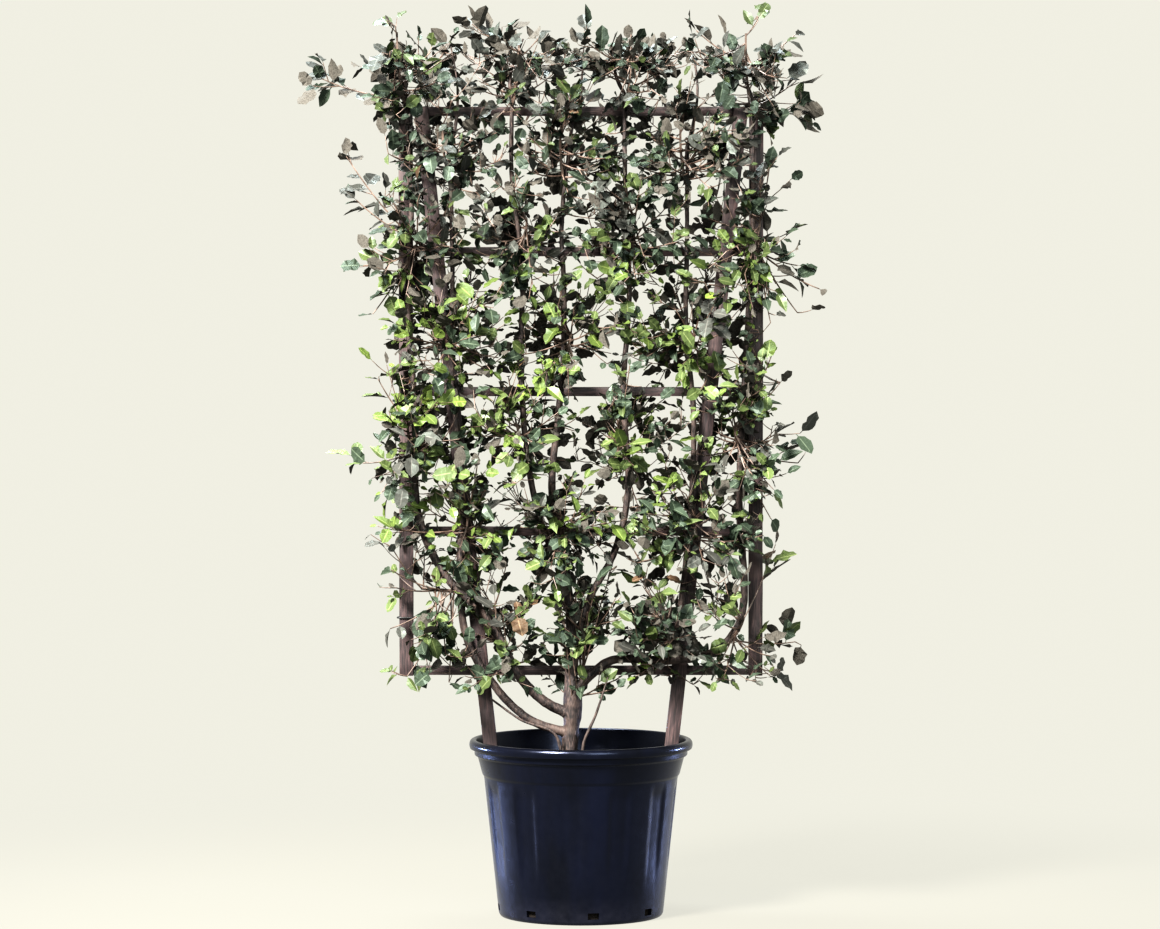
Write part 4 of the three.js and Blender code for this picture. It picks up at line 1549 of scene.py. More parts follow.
@dataclass
class Crown:
    """The foliage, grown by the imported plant's rule and carried on to fine twigs. In millimetres.

    Each mass has a heart, and its space is all that lies nearer to its own heart than to any
    other, seen from the front, with heights counted at less than their length. When all masses
    are grown, more twiglets fill what chance has left bare, but not the gaps that show the sky.
    """

    limbs: Limbs
    trellis: Trellis
    first_band: float = 785.0
    band_pitch: float = 190.0
    bands: int = 6
    height_scale: float = 0.8
    left: float = -412.0
    right: float = 408.0
    bottom: float = 470.0
    top: float = 1806.0
    lowest: float = 440.0
    highest: float = 1838.0
    front: float = -160.0
    back: float = 140.0
    fringe: float = 60.0
    low_masses: tuple[tuple[str, str, float, float], ...] = (
        ("foliage_low_far_left", "far_left", -306.0, 622.0),
        ("foliage_low_left", "far_left", -160.0, 592.0),
        ("foliage_low_centre", "trunk", 0.0, 580.0),
        ("foliage_low_right", "right", 158.0, 572.0),
        ("foliage_low_far_right", "far_right", 312.0, 572.0),
    )
    spray_tips: tuple[Point, ...] = (
        (-392, 466), (-410, 745), (-474, 908), (-448, 1086), (-462, 1200), (-472, 1308),
        (-486, 1440), (-512, 1536), (-560, 1686), (-372, 1822), (-226, 1830), (-176, 1788),
        (-84, 1800), (0, 1796), (110, 1764), (232, 1812), (356, 1832), (436, 1808), (478, 1690),
        (496, 1614), (418, 1370), (470, 1308), (520, 1258), (498, 1180), (438, 1070), (436, 975),
        (488, 908), (428, 740), (486, 545), (262, 458), (-300, 456),
    )
    route_steps: int = 240
    stem_from: Span = (0.1, 0.6)
    stem_margin: float = 5.0
    stem_forward: float = 34.0
    stem_aside: float = 14.0
    stem_rise: float = 50.0
    stem_elbow: Place = (0.4, 0.8, 0.35)
    stem_bulge: float = 10.0
    stem_steps: int = 10
    stem_radii: Span = (4.0, 2.4)
    twigs: int = 22
    highest_share: float = 0.98
    share_step: float = 0.039
    twig_radii: Span = (1.9, 1.0)
    twig_tries: int = 200
    twig_sag: float = 0.12
    twig_steps: int = 8
    rise: float = 22.0
    slope: float = 0.35
    candidates: int = 14
    search: float = 190.0
    tip_margin: float = 8.0
    side_inset: float = 26.0
    bottom_inset: float = 14.0
    top_inset: float = 76.0
    front_depths: Span = (-130.0, -24.0)
    back_depths: Span = (58.0, 116.0)
    back_share: float = 0.42
    spray_depths: Span = (-60.0, 40.0)
    spray_lean: float = 0.15
    spray_short: float = 0.7
    twiglet_shares: tuple[float, ...] = (0.3, 0.45, 0.6, 0.75, 0.88)
    twiglet_lengths: Span = (30.0, 76.0)
    twiglet_spread: float = 48.0
    twiglet_look: float = 0.1
    twiglet_lift: float = 0.3
    twiglet_sag: float = 0.08
    twiglet_steps: int = 3
    twiglet_bare: float = 0.15
    twiglet_turn: float = 90.0
    twiglet_radii: Span = (1.1, 0.7)
    leaf_spacing: float = 8.0
    fewest_leaves: int = 2
    bare_share: float = 0.24
    leaf_lengths: Span = (18.0, 54.0)
    spray_lengths: Span = (36.0, 62.0)
    leaf_bias: float = 1.4
    young_leaves: int = 2
    young_size: float = 0.8
    leaf_look: float = 0.08
    tip_spread: float = 12.0
    leaf_spread: Span = (38.0, 74.0)
    leaf_facing: Span = (-0.1, 0.9)
    leaf_lift: Span = (0.3, 1.3)
    leaf_roll: float = 1.8
    tilt_to_tip: float = 0.4
    turned_heights: Span = (1300.0, 1650.0)
    turned_shares: Span = (0.12, 0.26)
    tones: Span = (0.74, 1.24)
    # Painted light and shade: leaves lighter below the crown's middle, darker towards its top, and darker
    # again near its foot.
    painted_shade_heights: Span = (800.0, 1700.0)
    painted_shade_shares: Span = (1.3, 0.58)
    low_painted_shade_heights: Span = (560.0, 860.0)
    low_painted_shade_shares: Span = (0.8, 1.0)
    behind: float = 20.0
    overlap: float = 24.0
    openings: tuple[tuple[float, ...], ...] = (
        (28, 1104, 30, 34), (-132, 672, 26, 38), (276, 560, 38, 28), (-80, 602, 30, 30),
        (38, 512, 56, 34), (-32, 946, 20, 24), (122, 926, 18, 20), (108, 1080, 20, 22),
        (62, 1672, 24, 22), (118, 1674, 18, 20), (320, 1655, 17, 17), (-134, 1078, 17, 15),
        (-288, 788, 15, 15), (8, 1040, 20, 22), (-304, 524, 30, 26), (-20, 1154, 34, 18),
        (362, 1162, 14, 22), (-336, 1368, 12, 14), (-232, 1716, 12, 12), (330, 1736, 18, 16),
        (-238, 582, 14, 30), (-186, 520, 18, 24), (-354, 560, 30, 96), (350, 610, 26, 72),
        (-316, 640, 18, 28), (-266, 818, 18, 20), (22, 1012, 16, 18), (-218, 1538, 14, 16),
        (-266, 676, 14, 18), (-404, 1030, 18, 46), (70, 1150, 16, 16), (-76, 866, 18, 18),
        (-26, 824, 14, 22), (-26, 1490, 14, 14), (-362, 1776, 22, 20), (-318, 1734, 20, 16),
        (46, 1782, 32, 18), (382, 1776, 34, 20), (340, 1730, 22, 16), (404, 1634, 18, 20),
        (406, 1490, 16, 20), (352, 1394, 16, 20), (312, 1426, 14, 12), (-410, 1240, 14, 36),
        (-314, 962, 12, 14), (312, 914, 14, 14), (192, 508, 40, 18), (-122, 578, 14, 14),
        (406, 1010, 16, 16), (-412, 1410, 20, 56), (-276, 626, 14, 18), (-314, 700, 14, 18),
        (24, 1056, 14, 14), (72, 840, 14, 18),
    )
    opening_loss: float = 0.84
    thin_parts: tuple[tuple[float, ...], ...] = (
        (-600, 600, 400, 514, 0.3, 0.5),
        (-600, -330, 514, 745, 0.85, 0.7),
        (-600, -376, 770, 1560, 0.5, 0.3),
        (330, 600, 514, 700, 0.7, 0.5),
        (366, 600, 700, 1560, 0.7, 0.45),
        (-600, 600, 1640, 1850, 0.1, 0.12),
    )
    gap_size: float = 11.0
    gap_layer: float = 40.0
    gap_from: Span = (0.07, 0.19)
    gap_loss: float = 0.88
    blade_shares: Place = (0.3, 0.6, 0.9)
    cell: float = 6.0
    cells: tuple[int, int] = (210, 245)
    first_cell: Point = (-630.0, 380.0)
    cover_across: Place = (-0.22, 0.0, 0.22)
    cover_along: tuple[float, ...] = (0.25, 0.45, 0.65, 0.85)
    patch_cells: int = 2
    patch_bare: float = 0.56
    lath_bare: float = 0.3
    hidden_from: float = 790.0
    boughs_hidden_from: float = 1120.0
    bough_cover: float = 9.0
    filler_tries: int = 620
    filler_search: float = 130.0
    filler_reach: Span = (20.0, 95.0)
    filler_above: float = 0.6
    filler_behind: float = 30.0
    filler_depth: float = 24.0
    filler_bare: float = 0.3
    filler_loss: float = 0.4
    filler_sag: float = 0.1
    filler_steps: int = 4
    piece_leaves: int = 3400
    knot_twig: tuple[Place, Place, Place] = ((-4, -36, 446), (34, -44, 449), (72, -46, 462))
    knot_leaves: tuple[tuple[Place, float], ...] = (((0.6, -0.2, 0.7), 26.0), ((0.7, -0.3, -0.5), 20.0))
    knot_facing: Place = (-0.3, -1.0, 0.5)
    knot_steps: int = 6
    near_kinds: tuple[LeafKind, ...] = (LeafKind.LIME, LeafKind.TURNED)
    near_shares: Span = (0.25, 0.8)
    top_from: Span = (1300.0, 1560.0)
    middle_from: Span = (690.0, 980.0)
    middle_to: Span = (1240.0, 1420.0)
    chances: tuple[tuple[LeafKind, float, float, float, float], ...] = (
        (LeafKind.GREY, 0.12, 0.0, 0.0, 0.5),
        (LeafKind.DEEP, 0.36, 0.0, 0.0, 0.0),
        (LeafKind.MID, 0.16, 0.14, 0.85, 0.0),
        (LeafKind.FRESH, 0.01, 0.56, 0.0, 0.0),
        (LeafKind.LIME, 0.0, 0.05, 0.0, 0.0),
        (LeafKind.TURNED, 0.03, 0.0, 0.0, 0.0),
    )
    lath_gap: float = 3.0
    lath_checks: tuple[float, ...] = (0.0, 0.25, 0.5, 0.75)
    twig_crease: float = 80.0
    leaf_crease: float = 24.0
    masses: list[Mass] = field(default_factory=list)
    wood: list[Strand] = field(default_factory=list)
    leaves: dict[LeafKind, list[Leaf]] = field(default_factory=lambda: {kind: [] for kind in LeafKind})
    filling_back: bool = False
    leftmost: float = field(init=False)
    rightmost: float = field(init=False)
    laths: list[tuple[Vector, Vector]] = field(init=False)
    climbs: list[tuple[list[float], list[float]]] = field(init=False)
    cover: np.ndarray = field(init=False)
    back_cover: np.ndarray = field(init=False)

    def __post_init__(self) -> None:
        """Takes the plant's width, the laths' boxes and the boughs' ways up, and clears the cover."""
        low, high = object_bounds()
        self.leftmost, self.rightmost = low.x / MM, high.x / MM
        apart = Vector((self.lath_gap, self.lath_gap, self.lath_gap))
        boxes = map(box_of, [*self.trellis.rails, "trellis_upright_left", "trellis_upright_right"])
        self.laths = [(low - apart, high + apart) for low, high in boxes]
        lines = [self.limbs.routes[bough.name].line for bough in BOUGHS]
        self.climbs = [([point.z for point in line], [point.x for point in line]) for line in lines]
        self.cover, self.back_cover = np.zeros(self.cells), np.zeros(self.cells)

    def place_masses(self) -> None:
        """Places the hearts: the low ones, then those of each band up every other bough."""
        found = list(self.low_masses)
        for band in range(self.bands):
            height = self.first_band + band * self.band_pitch
            for bough in BOUGHS:
                if bough.column % 2 == band % 2:
                    continue
                reached = min(height, bough.tip[2])
                route = self.limbs.routes[bough.name]
                points = [route.at(step / self.route_steps) for step in range(self.route_steps + 1)]
                across = max((point for point in points if point.z <= reached), key=lambda p: p.z).x
                found.append((f"foliage_{bough.name}_{band + 1}", bough.name, across, height))
        self.masses = [Mass(*mass, seed) for seed, mass in enumerate(found, 1)]

    def depth_in_space(self, mass: Mass, across: float, height: float) -> float:
        """Gives how far a place lies inside a mass's own space, from the nearest wall."""
        depth = math.inf
        for other in self.masses:
            if other is mass:
                continue
            apart = other.across - mass.across
            above = (other.height - mass.height) * self.height_scale
            sideways = across - (other.across + mass.across) / 2
            up = (height - (other.height + mass.height) / 2) * self.height_scale
            depth = min(depth, -(sideways * apart + up * above) / math.hypot(apart, above))
        return depth

    def in_reach(self, mass: Mass, place: Vector) -> bool:
        """Tells whether a place lies within the crown and, but for a small overlap, in the mass's space."""
        if not (self.front < place.y < self.back and self.lowest < place.z < self.highest):
            return False
        if not self.leftmost < place.x < self.rightmost:
            return False
        return self.depth_in_space(mass, place.x, place.z) > -self.overlap

    def twig_loss(self, place: Vector) -> float:
        """Gives the chance that no twig grows to a place, as seen from the front."""
        if self.in_opening(place):
            return self.opening_loss
        return max((part[4] for part in self.thin_parts if self.in_part(part, place)), default=0.0)

    def leaf_loss(self, place: Vector) -> float:
        """Gives the chance that no leaf hangs at a place, as seen from the front."""
        if self.in_opening(place):
            return self.opening_loss
        gap = noise.noise(Vector((place.x, self.gap_layer, place.z)) / self.gap_size)
        loss = self.gap_loss * smooth(gap, *self.gap_from)
        return max(loss, *(part[5] for part in self.thin_parts if self.in_part(part, place)), 0.0)

    def in_opening(self, place: Vector) -> bool:
        """Tells whether a place lies in one of the gaps through which the sky shows."""
        return any(
            ((place.x - across) / half_width) ** 2 + ((place.z - height) / half_height) ** 2 < 1
            for across, height, half_width, half_height in self.openings
        )

    @staticmethod
    def in_part(part: Sequence[float], place: Vector) -> bool:
        """Tells whether a place lies in a thinner part of the crown."""
        left, right, bottom, top = part[:4]
        return left < place.x < right and bottom < place.z < top

    def meets_trellis(self, points: Line) -> bool:
        """Tells whether a line of points passes through a lath."""
        for start, end in zip(points, points[1:]):
            for share in self.lath_checks:
                place = start.lerp(end, share)
                if any(all(low[k] < place[k] < high[k] for k in range(3)) for low, high in self.laths):
                    return True
        return False

    def stem_of(self, mass: Mass, draw: Seeded) -> list[Vector]:
        """Gives a mass's stem: from its limb, low in its space, out to the front and up."""
        route = self.limbs.routes[mass.limb]
        shares = [step / self.route_steps for step in range(self.route_steps + 1)]
        held = [
            share
            for share in shares
            if self.depth_in_space(mass, route.at(share).x, route.at(share).z) > self.stem_margin
        ]
        share = held[int(len(held) * draw.within(self.stem_from))] if held else 1.0
        foot = route.at(share)
        side = -1 if draw() < 0.5 else 1
        tip = Vector((mass.across + side * self.stem_aside, -self.stem_forward, mass.height))
        tip.z += self.stem_rise * draw()
        across, forward, up = self.stem_elbow
        elbow = Vector((lerp(foot.x, tip.x, across), -self.stem_forward * forward, lerp(foot.z, tip.z, up)))
        elbow.x += side * self.stem_bulge
        return bent(foot, elbow, tip, self.stem_steps)

    def spray_target(self, tip: Point, draw: Seeded) -> Vector:
        """Gives where the twig to an outstanding spray ends, a leaf short of the spray's tip."""
        inward = Vector(((self.left + self.right) / 2 - tip[0], (self.bottom + self.top) / 2 - tip[1]))
        if tip[1] > self.top - self.fringe:
            inward.x *= self.spray_lean
        else:
            inward.y *= self.spray_lean
        inward = inward.normalized() * self.leaf_lengths[1] * self.spray_short
        return Vector((tip[0] + inward.x, draw.within(self.spray_depths), tip[1] + inward.y))

    def held_in(self, across: float, height: float) -> Point:
        """Holds a place, as seen from the front, within the crown's outline."""
        across = min(max(across, self.left + self.side_inset), self.right - self.side_inset)
        height = min(max(height, self.bottom + self.bottom_inset), self.top - self.top_inset)
        return across, height

    def open_target(self, mass: Mass, reached: Line, draw: Seeded) -> Optional[Vector]:
        """Gives the roomiest of a few random places in a mass's space, for the next twig to reach."""
        best, room = None, -1.0
        for _ in range(self.candidates):
            depths = self.back_depths if draw() < self.back_share else self.front_depths
            across = mass.across + draw.within((-self.search, self.search))
            forward = draw.within(depths)
            height = mass.height + draw.within((-self.search, self.search))
            across, height = self.held_in(across, height)
            if self.depth_in_space(mass, across, height) < self.tip_margin:
                continue
            nearest = min(math.hypot(tip.x - across, tip.z - height) for tip in reached)
            if nearest > room:
                best, room = Vector((across, forward, height)), nearest
        return best

    def grow_mass(self, mass: Mass) -> None:
        """Grows one mass: a stem, twigs to tips spread through its space, twiglets and leaves."""
        draw = Seeded(mass.seed)
        stem = self.stem_of(mass, draw)
        last = len(stem) - 1
        self.wood.append(Strand(stem, [lerp(*self.stem_radii, place / last) for place in range(last + 1)]))
        reached = [stem[-1]]
        tips = [tip for tip in self.spray_tips if self.depth_in_space(mass, *tip) > 0]
        free = [self.highest_share - self.share_step * place for place in range(self.twigs + 1)]
        for attempt in range(self.twig_tries):
            if len(reached) > self.twigs or not free:
                break
            spray = tips[attempt] if attempt < len(tips) else None
            target = self.spray_target(spray, draw) if spray else self.open_target(mass, reached, draw)
            if target is None or (spray is None and draw() < self.twig_loss(target)):
                continue
            share = self.free_share(stem, target, free)
            foot = self.on(stem, share)
            twig = sagging(foot, target, self.twig_sag * (target - foot).length, self.twig_steps)
            if self.meets_trellis(twig):
                continue
            if spray is None and self.in_opening(twig[len(twig) // 2]):
                continue
            free.remove(share)
            reached.append(target)
            self.dress_twig(mass, twig, self.spray_lengths if spray else self.leaf_lengths, draw)

    def grow_knot_twig(self) -> None:
        """Grows the thin twig that stands out to the right from the trunk's knot, with two leaves."""
        foot, middle, tip = map(Vector, self.knot_twig)
        self.add_wood(bent(foot, middle, tip, self.knot_steps), 1.0, self.twig_radii)
        facing = Vector(self.knot_facing)
        for place, (way, length) in zip((tip, middle), self.knot_leaves):
            leaf = Leaf(place, Vector(way).normalized(), facing, length, 0, 1.0)
            self.leaves[LeafKind.DEEP].append(leaf)

    def cell_of(self, across: float, height: float) -> tuple[int, int]:
        """Gives the cell of the cover that a place lies in, as seen from the front."""
        left, bottom = self.first_cell
        return int((across - left) / self.cell), int((height - bottom) / self.cell)

    def covered_by(self, leaf: Leaf) -> list[tuple[int, int]]:
        """Gives the cells that a leaf covers, as seen from the front."""
        across = leaf.direction.cross(leaf.facing).normalized()
        places = [
            leaf.root + (leaf.direction * along + across * aside) * leaf.length
            for along in self.cover_along
            for aside in self.cover_across
        ]
        return [self.cell_of(place.x, place.z) for place in places]

    def keep_leaf(self, kind: LeafKind, leaf: Leaf) -> bool:
        """Keeps a leaf and notes its cover, but none that would close a gap from behind the plant."""
        cells = self.covered_by(leaf)
        if self.filling_back and not all(self.cover[cell] for cell in cells):
            return False
        self.leaves[kind].append(leaf)
        for cell in cells:
            self.cover[cell] = 1.0
            if leaf.root.y > self.behind:
                self.back_cover[cell] = 1.0
        return True

    def is_bare(self, across: float, height: float) -> bool:
        """Tells whether too many of the cells round a place have no leaf."""
        column, row = self.cell_of(across, height)
        reach = self.patch_cells
        cover = self.back_cover if self.filling_back else self.cover
        patch = cover[column - reach : column + reach + 1, row - reach : row + reach + 1]
        allowed = self.lath_bare if self.before_wood(across, height) else self.patch_bare
        return patch.mean() <= 1.0 - allowed

    def before_wood(self, across: float, height: float) -> bool:
        """Tells whether a place lies before an upright or a climbing bough that leaves should hide."""
        if height < self.hidden_from:
            return False
        reaches = (self.trellis.leg_reach(height), self.trellis.outer_reach)
        if min(abs(abs(across) - reach) for reach in reaches) < self.trellis.lath_width:
            return True
        if height < self.boughs_hidden_from:
            return False
        near = min(abs(np.interp(height, rise, aside) - across) for rise, aside in self.climbs)
        return near < self.bough_cover

    def fill_gaps(self, back: bool) -> None:
        """Grows twiglets out of the nearest wood into places that chance has left bare.

        Args:
            back: whether the back is filled, only where leaves already hide the sky.
        """
        self.filling_back = back
        draw = Seeded(self.filler_tries + back)
        feet = np.array([point[:] for strand in self.wood for point in strand.points])
        search = (-self.filler_search, self.filler_search)
        for mass in self.masses:
            for _ in range(self.filler_tries):
                across = mass.across + draw.within(search)
                height = mass.height + draw.within(search)
                across, height = self.held_in(across, height)
                if self.depth_in_space(mass, across, height) < 0 or not self.is_bare(across, height):
                    continue
                if self.twig_loss(Vector((across, 0.0, height))) > self.filler_loss:
                    continue
                foot = self.nearest_foot(feet, across, height)
                if foot is None:
                    continue
                forward = foot.y + draw.within((-self.filler_depth, self.filler_depth))
                if back:
                    forward = draw.within(self.back_depths)
                self.grow_filler(mass, foot, Vector((across, forward, height)), draw)

    def nearest_foot(self, feet: np.ndarray, across: float, height: float) -> Optional[Vector]:
        """Gives the point of the wood that a twiglet to a place best grows from, if one is in reach."""
        apart = np.hypot(feet[:, 0] - across, feet[:, 2] - height)
        cost = apart + self.filler_above * np.maximum(feet[:, 2] - height, 0.0)
        cost += self.filler_behind * (feet[:, 1] > 0.0)
        nearest, farthest = self.filler_reach
        cost[(apart < nearest) | (apart > farthest)] = np.inf
        if self.filling_back:
            cost[feet[:, 1] < self.behind] = np.inf
        elif self.before_wood(across, height):
            cost[feet[:, 1] > 0.0] = np.inf
        best = int(np.argmin(cost))
        return Vector(feet[best]) if math.isfinite(cost[best]) else None

    def grow_filler(self, mass: Mass, foot: Vector, tip: Vector, draw: Seeded) -> None:
        """Grows one leafy twiglet from a foot on other wood towards a bare place."""
        reach = (tip - foot).length
        line = sagging(foot, tip, self.filler_sag * reach, self.filler_steps)
        if self.meets_trellis(line):
            return
        kind, turn = self.deal_kind(tip.z, draw), 360.0 * draw()
        leafy = self.hang_leaves(mass, line, reach, self.filler_bare, self.leaf_lengths, kind, turn, draw)
        if leafy > 0:
            self.add_wood(line, leafy, self.twiglet_radii)

    def free_share(self, stem: Line, target: Vector, free: Sequence[float]) -> float:
        """Gives the highest free place on a stem that lies below a twig's target."""
        across = abs(target.x - self.on(stem, 0.5).x)
        highest = target.z - self.slope * across - self.rise
        return next((share for share in free if self.on(stem, share).z < highest), free[-1])

    @staticmethod
    def on(line: Line, share: float) -> Vector:
        """Gives the point at a share of the way through a line of points."""
        place = share * (len(line) - 1)
        before = min(int(place), len(line) - 2)
        return line[before].lerp(line[before + 1], place - before)

    def way_at(self, line: Line, share: float, look: float) -> Vector:
        """Gives the direction of a line of points at a share of the way, by a look to each side."""
        return (self.on(line, min(share + look, 1.0)) - self.on(line, share - look)).normalized()

    def dress_twig(self, mass: Mass, twig: Line, sizes: Span, draw: Seeded) -> None:
        """Gives a twig its side twiglets and its leaves, in the colour dealt to this spray."""
        kind = self.deal_kind(twig[-1].z, draw)
        if sizes == self.spray_lengths and kind in (LeafKind.FRESH, LeafKind.LIME):
            kind = LeafKind.DEEP
        turn = 360.0 * draw()
        length = sum((b - a).length for a, b in zip(twig, twig[1:]))
        held = self.hang_leaves(mass, twig, length, self.bare_share, sizes, kind, turn, draw)
        for order, share in enumerate(self.twiglet_shares):
            foot = self.on(twig, share)
            along = self.way_at(twig, share, self.twiglet_look)
            way = turned_from(along, self.twiglet_spread, turn + GOLDEN_ANGLE * order)
            way = (way + Vector((0.0, 0.0, self.twiglet_lift))).normalized()
            reach = draw.within(self.twiglet_lengths)
            tip = foot + way * reach
            twiglet = sagging(foot, tip, self.twiglet_sag * reach, self.twiglet_steps)
            if not self.in_reach(mass, tip) or self.meets_trellis(twiglet):
                continue
            if draw() < max(self.leaf_loss(tip), self.twig_loss(tip) / 2):
                continue
            leafy = self.hang_leaves(
                mass, twiglet, reach, self.twiglet_bare, sizes, kind, turn + self.twiglet_turn, draw
            )
            if leafy > 0:
                self.add_wood(twiglet, leafy, self.twiglet_radii)
                held = max(held, share)
        if held > 0:
            self.add_wood(twig, held, self.twig_radii)

    def add_wood(self, line: Line, held: float, radii: Span) -> None:
        """Adds a twig as far as its outermost leaf, at a share of the way along its line."""
        last = len(line) - 1
        points = [self.on(line, held * place / last) for place in range(last + 1)]
        self.wood.append(Strand(points, [lerp(*radii, place / last) for place in range(last + 1)]))

    def hang_leaves(
        self,
        mass: Mass,
        line: Line,
        length: float,
        bare: float,
        sizes: Span,
        kind: LeafKind,
        turn: float,
        draw: Seeded,
    ) -> float:
        """Hangs leaves on a twig: one at its tip, the others alternating round its outer part.

        Args:
            mass: the mass that the twig belongs to.
            line: the twig's points.
            length: the twig's length.
            bare: the share of the twig, from its foot, that has no leaves.
            sizes: the lengths of the smallest and the largest leaf.
            kind: the spray's colour.
            turn: the azimuth round the twig of its first leaf, in degrees.
            draw: the generator.

        Returns:
            The share along the twig of its outermost leaf, or 0 if it has none.
        """
        held = 0.0
        count = max(self.fewest_leaves, round(length * (1 - bare) / self.leaf_spacing))
        for place in range(count):
            held_at = lerp(1.0, bare, place / count)
            root = self.on(line, held_at)
            along = self.way_at(line, held_at, self.leaf_look)
            spread = self.tip_spread if place == 0 else draw.within(self.leaf_spread)
            direction = turned_from(along, spread, turn + GOLDEN_ANGLE * place)
            size = lerp(*sizes, draw() ** self.leaf_bias)
            size *= self.young_size if place < self.young_leaves else 1.0
            outward = draw.within(self.leaf_facing) * (1 if root.y > self.behind else -1)
            aside = self.leaf_roll * (draw() - 0.5)
            facing = Vector((aside, outward, draw.within(self.leaf_lift))) + along * self.tilt_to_tip
            if draw() < lerp(*self.turned_shares, smooth(root.z, *self.turned_heights)):
                facing = -facing
            # Painted shade: each leaf's random tone is lightened or darkened by the height of its root.
            tone = draw.within(self.tones) * lerp(*self.painted_shade_shares, smooth(root.z, *self.painted_shade_heights))
            tone *= lerp(*self.low_painted_shade_shares, smooth(root.z, *self.low_painted_shade_heights))
            shape = int(draw() * len(LEAF_SHAPES))
            leaf_kind = self.neighbour(kind, draw)
            tip = root + direction * size
            if draw() < max(self.leaf_loss(root.lerp(tip, share)) for share in self.blade_shares):
                continue
            if self.in_reach(mass, tip) and self.in_reach(mass, root):
                leaf = Leaf(root, direction, facing, size, shape, tone)
                if self.keep_leaf(leaf_kind, leaf):
                    held = max(held, held_at)
        return held

    def neighbour(self, kind: LeafKind, draw: Seeded) -> LeafKind:
        """Gives a spray's own colour, or now and then a near one."""
        near = {
            LeafKind.DEEP: LeafKind.MID,
            LeafKind.GREY: LeafKind.DEEP,
            LeafKind.MID: LeafKind.DEEP,
            LeafKind.FRESH: LeafKind.MID,
            LeafKind.LIME: LeafKind.FRESH,
            LeafKind.TURNED: LeafKind.MID,
        }
        return near[kind] if draw() < self.near_shares[kind in self.near_kinds] else kind

    def deal_kind(self, height: float, draw: Seeded) -> LeafKind:
        """Deals a spray its colour: grey-green and deep at the top, fresher in the middle.

        Each colour's chance has its base, what it gains in the middle, the share of both that it
        loses at the top, and what it gains there.
        """
        top = smooth(height, *self.top_from)
        middle = smooth(height, *self.middle_from) * (1 - smooth(height, *self.middle_to))
        chances = [
            (kind, (base + gain * middle) * (1 - loss * top) + top_gain * top)
            for kind, base, gain, loss, top_gain in self.chances
        ]
        left = draw() * sum(chance for _, chance in chances)
        for kind, chance in chances:
            left -= chance
            if left <= 0:
                return kind
        return LeafKind.DEEP

    def grow(self) -> None:
        """Grows every mass, fills the front and the back, and adds the twig at the knot."""
        self.place_masses()
        for mass in self.masses:
            self.grow_mass(mass)
        self.fill_gaps(back=False)
        self.fill_gaps(back=True)
        self.grow_knot_twig()

    def build(self, skin: Material, under: Material) -> None:
        """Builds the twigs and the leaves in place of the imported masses, each colour apart."""
        self.grow()
        nodes = [mass.node for mass in self.masses]
        shape = tubes("twigs", self.wood, 0)
        piece_from_bmesh(shape, "twigs", [skin], nodes, self.twig_crease)
        for kind, leaves in self.leaves.items():
            title, colour, vein = kind.value
            upper = LeafGloss(f"{title} leaf gloss", colour, vein).make()
            for part, first in enumerate(range(0, len(leaves), self.piece_leaves), 1):
                mesh = joined_leaves(f"leaves_{title}_{part}", leaves[first : first + self.piece_leaves])
                piece_from_mesh(mesh, [upper, under], nodes, self.leaf_crease)


def towards(place: Sequence[float], aim: Sequence[float]) -> Euler:
    """Gives the turn of a camera or a light at a place that looks at another place."""
    return (Vector(aim) - Vector(place)).to_track_quat("-Z", "Y").to_euler()


@dataclass(frozen=True)
class Lamp:
    """A soft square light that hangs at one place and shines at another. In metres and watts."""

    name: str
    place: Place
    aim: Place
    size: float
    power: float
    colour: str
    spread: float = 180.0

    def hang(self) -> None:
        """Adds the light, with its beam's spread in degrees."""
        data = bpy.data.lights.new(self.name, "AREA")
        data.shape = "RECTANGLE"
        data.size = data.size_y = self.size
        data.energy = self.power
        data.color = linear(self.colour)[:3]
        data.spread = math.radians(self.spread)
        light = put(self.name, data)
        light.location = self.place
        light.rotation_euler = towards(self.place, self.aim)


LAMPS = (
    Lamp("key", (-2.4, -3.6, 4.2), (0.0, 0.0, 0.9), 1.2, 1650.0, "#fffaf2"),
    Lamp("front", (1.6, -4.6, 2.6), (0.0, 0.0, 0.9), 2.0, 145.0, "#f6fffb"),
    Lamp("top", (-1.0, 0.9, 4.8), (0.0, 0.0, 1.0), 1.4, 330.0, "#f4fbff"),
    Lamp("left", (-2.0, 1.0, 0.16), (0.0, 0.0, 0.15), 0.3, 1.6, "#b4c8ff", 12.0),
    Lamp("right", (2.0, 1.0, 0.16), (0.0, 0.0, 0.14), 0.3, 1.3, "#bccdff", 12.0),
)


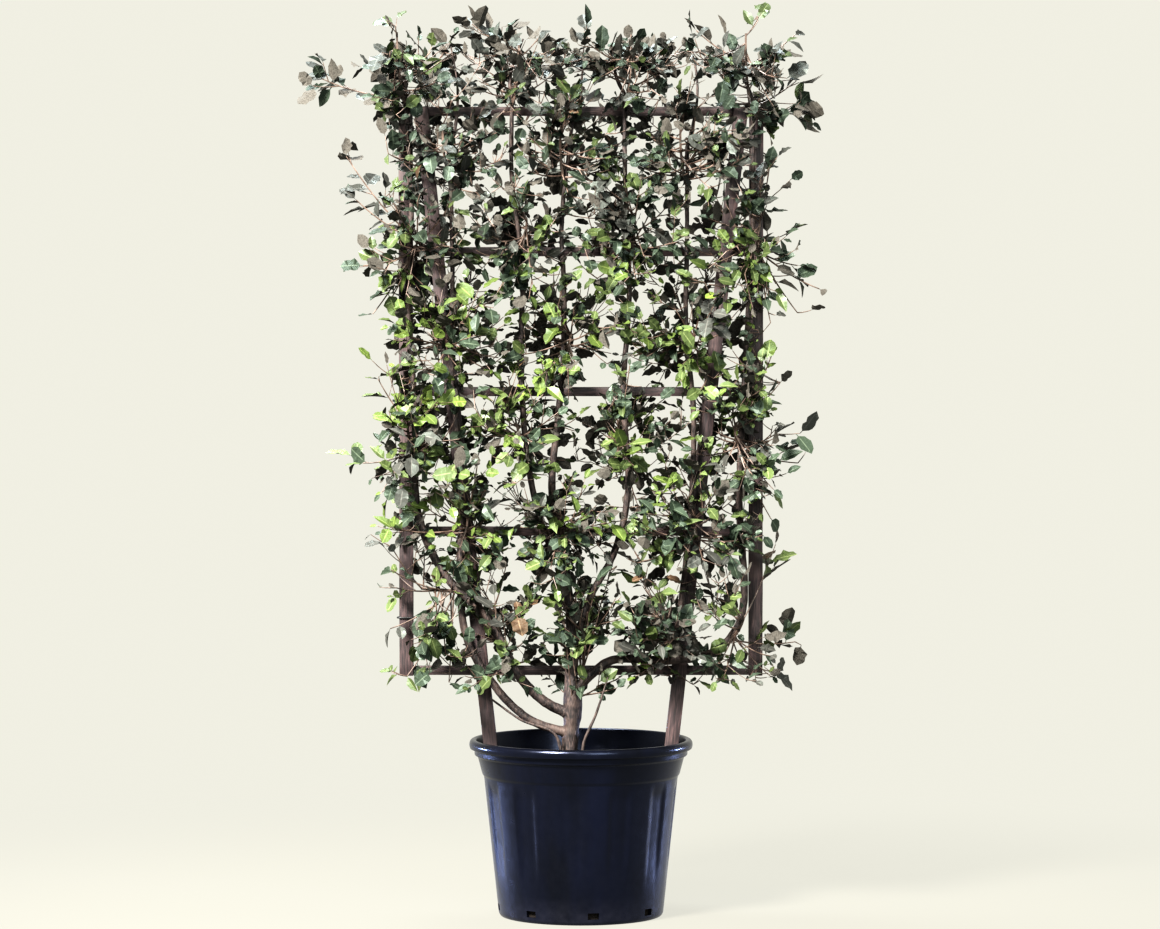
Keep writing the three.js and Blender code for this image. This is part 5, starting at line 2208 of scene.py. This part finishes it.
@dataclass
class Studio:
    """The pale studio: floor, background, lights and camera. Places here are in metres."""

    paper: str = "#cfcec5"
    floor_radius: float = 40.0
    floor_corners: int = 96
    floor_tone: str = "#2e2d2a"
    floor_glow: float = 0.86
    open_floor: float = 0.8
    far_floor: float = 2.2
    camera_at: Place = (0.0, -10.0, 1.40)
    camera_aim: Place = (-0.002, 0.0, 0.907)
    lens: float = 155.0
    sensor: float = 36.0
    sight: float = 200.0
    sky: float = 1.0

    def build(self) -> None:
        """Sets up the studio."""
        self.add_camera()
        self.add_background()
        self.add_floor()
        for lamp in LAMPS:
            lamp.hang()
        view = bpy.context.scene.view_settings
        view.view_transform = "Standard"
        view.look = "High Contrast"

    def add_camera(self) -> None:
        """Adds the camera at the photograph's angle."""
        data = bpy.data.cameras.new("camera")
        data.lens = self.lens
        data.sensor_width = self.sensor
        data.clip_end = self.sight
        camera = put("camera", data)
        camera.location = self.camera_at
        camera.rotation_euler = towards(self.camera_at, self.camera_aim)
        bpy.context.scene.camera = camera

    def add_background(self) -> None:
        """Makes the background as pale as the paper, from all sides."""
        world = bpy.data.worlds.new("studio")
        world.use_nodes = True
        tree = world.node_tree
        feed(tree, tree.nodes["Background"], {"Color": linear(self.paper), "Strength": self.sky})
        bpy.context.scene.world = world

    def add_floor(self) -> None:
        """Lays a round floor that takes the shadow nearby and melts into the background far off."""
        shape = bmesh.new()
        bmesh.ops.create_circle(
            shape, cap_ends=True, segments=self.floor_corners, radius=self.floor_radius
        )
        mesh = bpy.data.meshes.new("floor")
        shape.to_mesh(mesh)
        shape.free()
        floor = put("floor", mesh)
        floor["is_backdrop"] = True
        material = bpy.data.materials.new("paper floor")
        material.use_nodes = True
        tree = material.node_tree
        shader = tree.nodes["Principled BSDF"]
        inputs = {"Base Color": linear(self.floor_tone), "Roughness": 1.0, "Specular IOR Level": 0.0}
        feed(tree, shader, inputs)
        feed(tree, shader, {"Emission Color": linear(self.paper), "Emission Strength": self.floor_glow})
        glow = add_node(tree, "ShaderNodeEmission", {"Color": linear(self.paper), "Strength": self.sky})
        place = add_node(tree, "ShaderNodeTexCoord").outputs["Object"]
        distance = add_node(tree, "ShaderNodeVectorMath", {0: place}, operation="LENGTH")
        far = add_node(
            tree,
            "ShaderNodeMapRange",
            {"Value": distance.outputs["Value"], 1: self.open_floor, 2: self.far_floor, 3: 0.0, 4: 1.0},
            interpolation_type="SMOOTHSTEP",
        )
        sources = {0: far.outputs[0], 1: shader.outputs[0], 2: glow.outputs[0]}
        blend = add_node(tree, "ShaderNodeMixShader", sources)
        tree.links.new(blend.outputs[0], tree.nodes["Material Output"].inputs["Surface"])
        mesh.materials.append(material)


def main() -> None:
    """Builds the studio and every piece of the plant."""
    logging.basicConfig(level=logging.INFO, format="%(message)s")
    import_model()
    Studio().build()
    pot = Pot()
    pot.build(MouldedPolypropylene().make())
    Compost().build(pot, PottingCompost().make())
    trellis = Trellis()
    trellis.build(StainedSoftwood().make(), GalvanisedWire().make())
    limbs = Limbs()
    limbs.lay_routes()
    limbs.build(ShrubBark().make())
    Ties().build(limbs, trellis, TieTube().make())
    Crown(limbs, trellis).build(TwigSkin().make(), LeafScales().make())


if __name__ == "__main__":
    main()
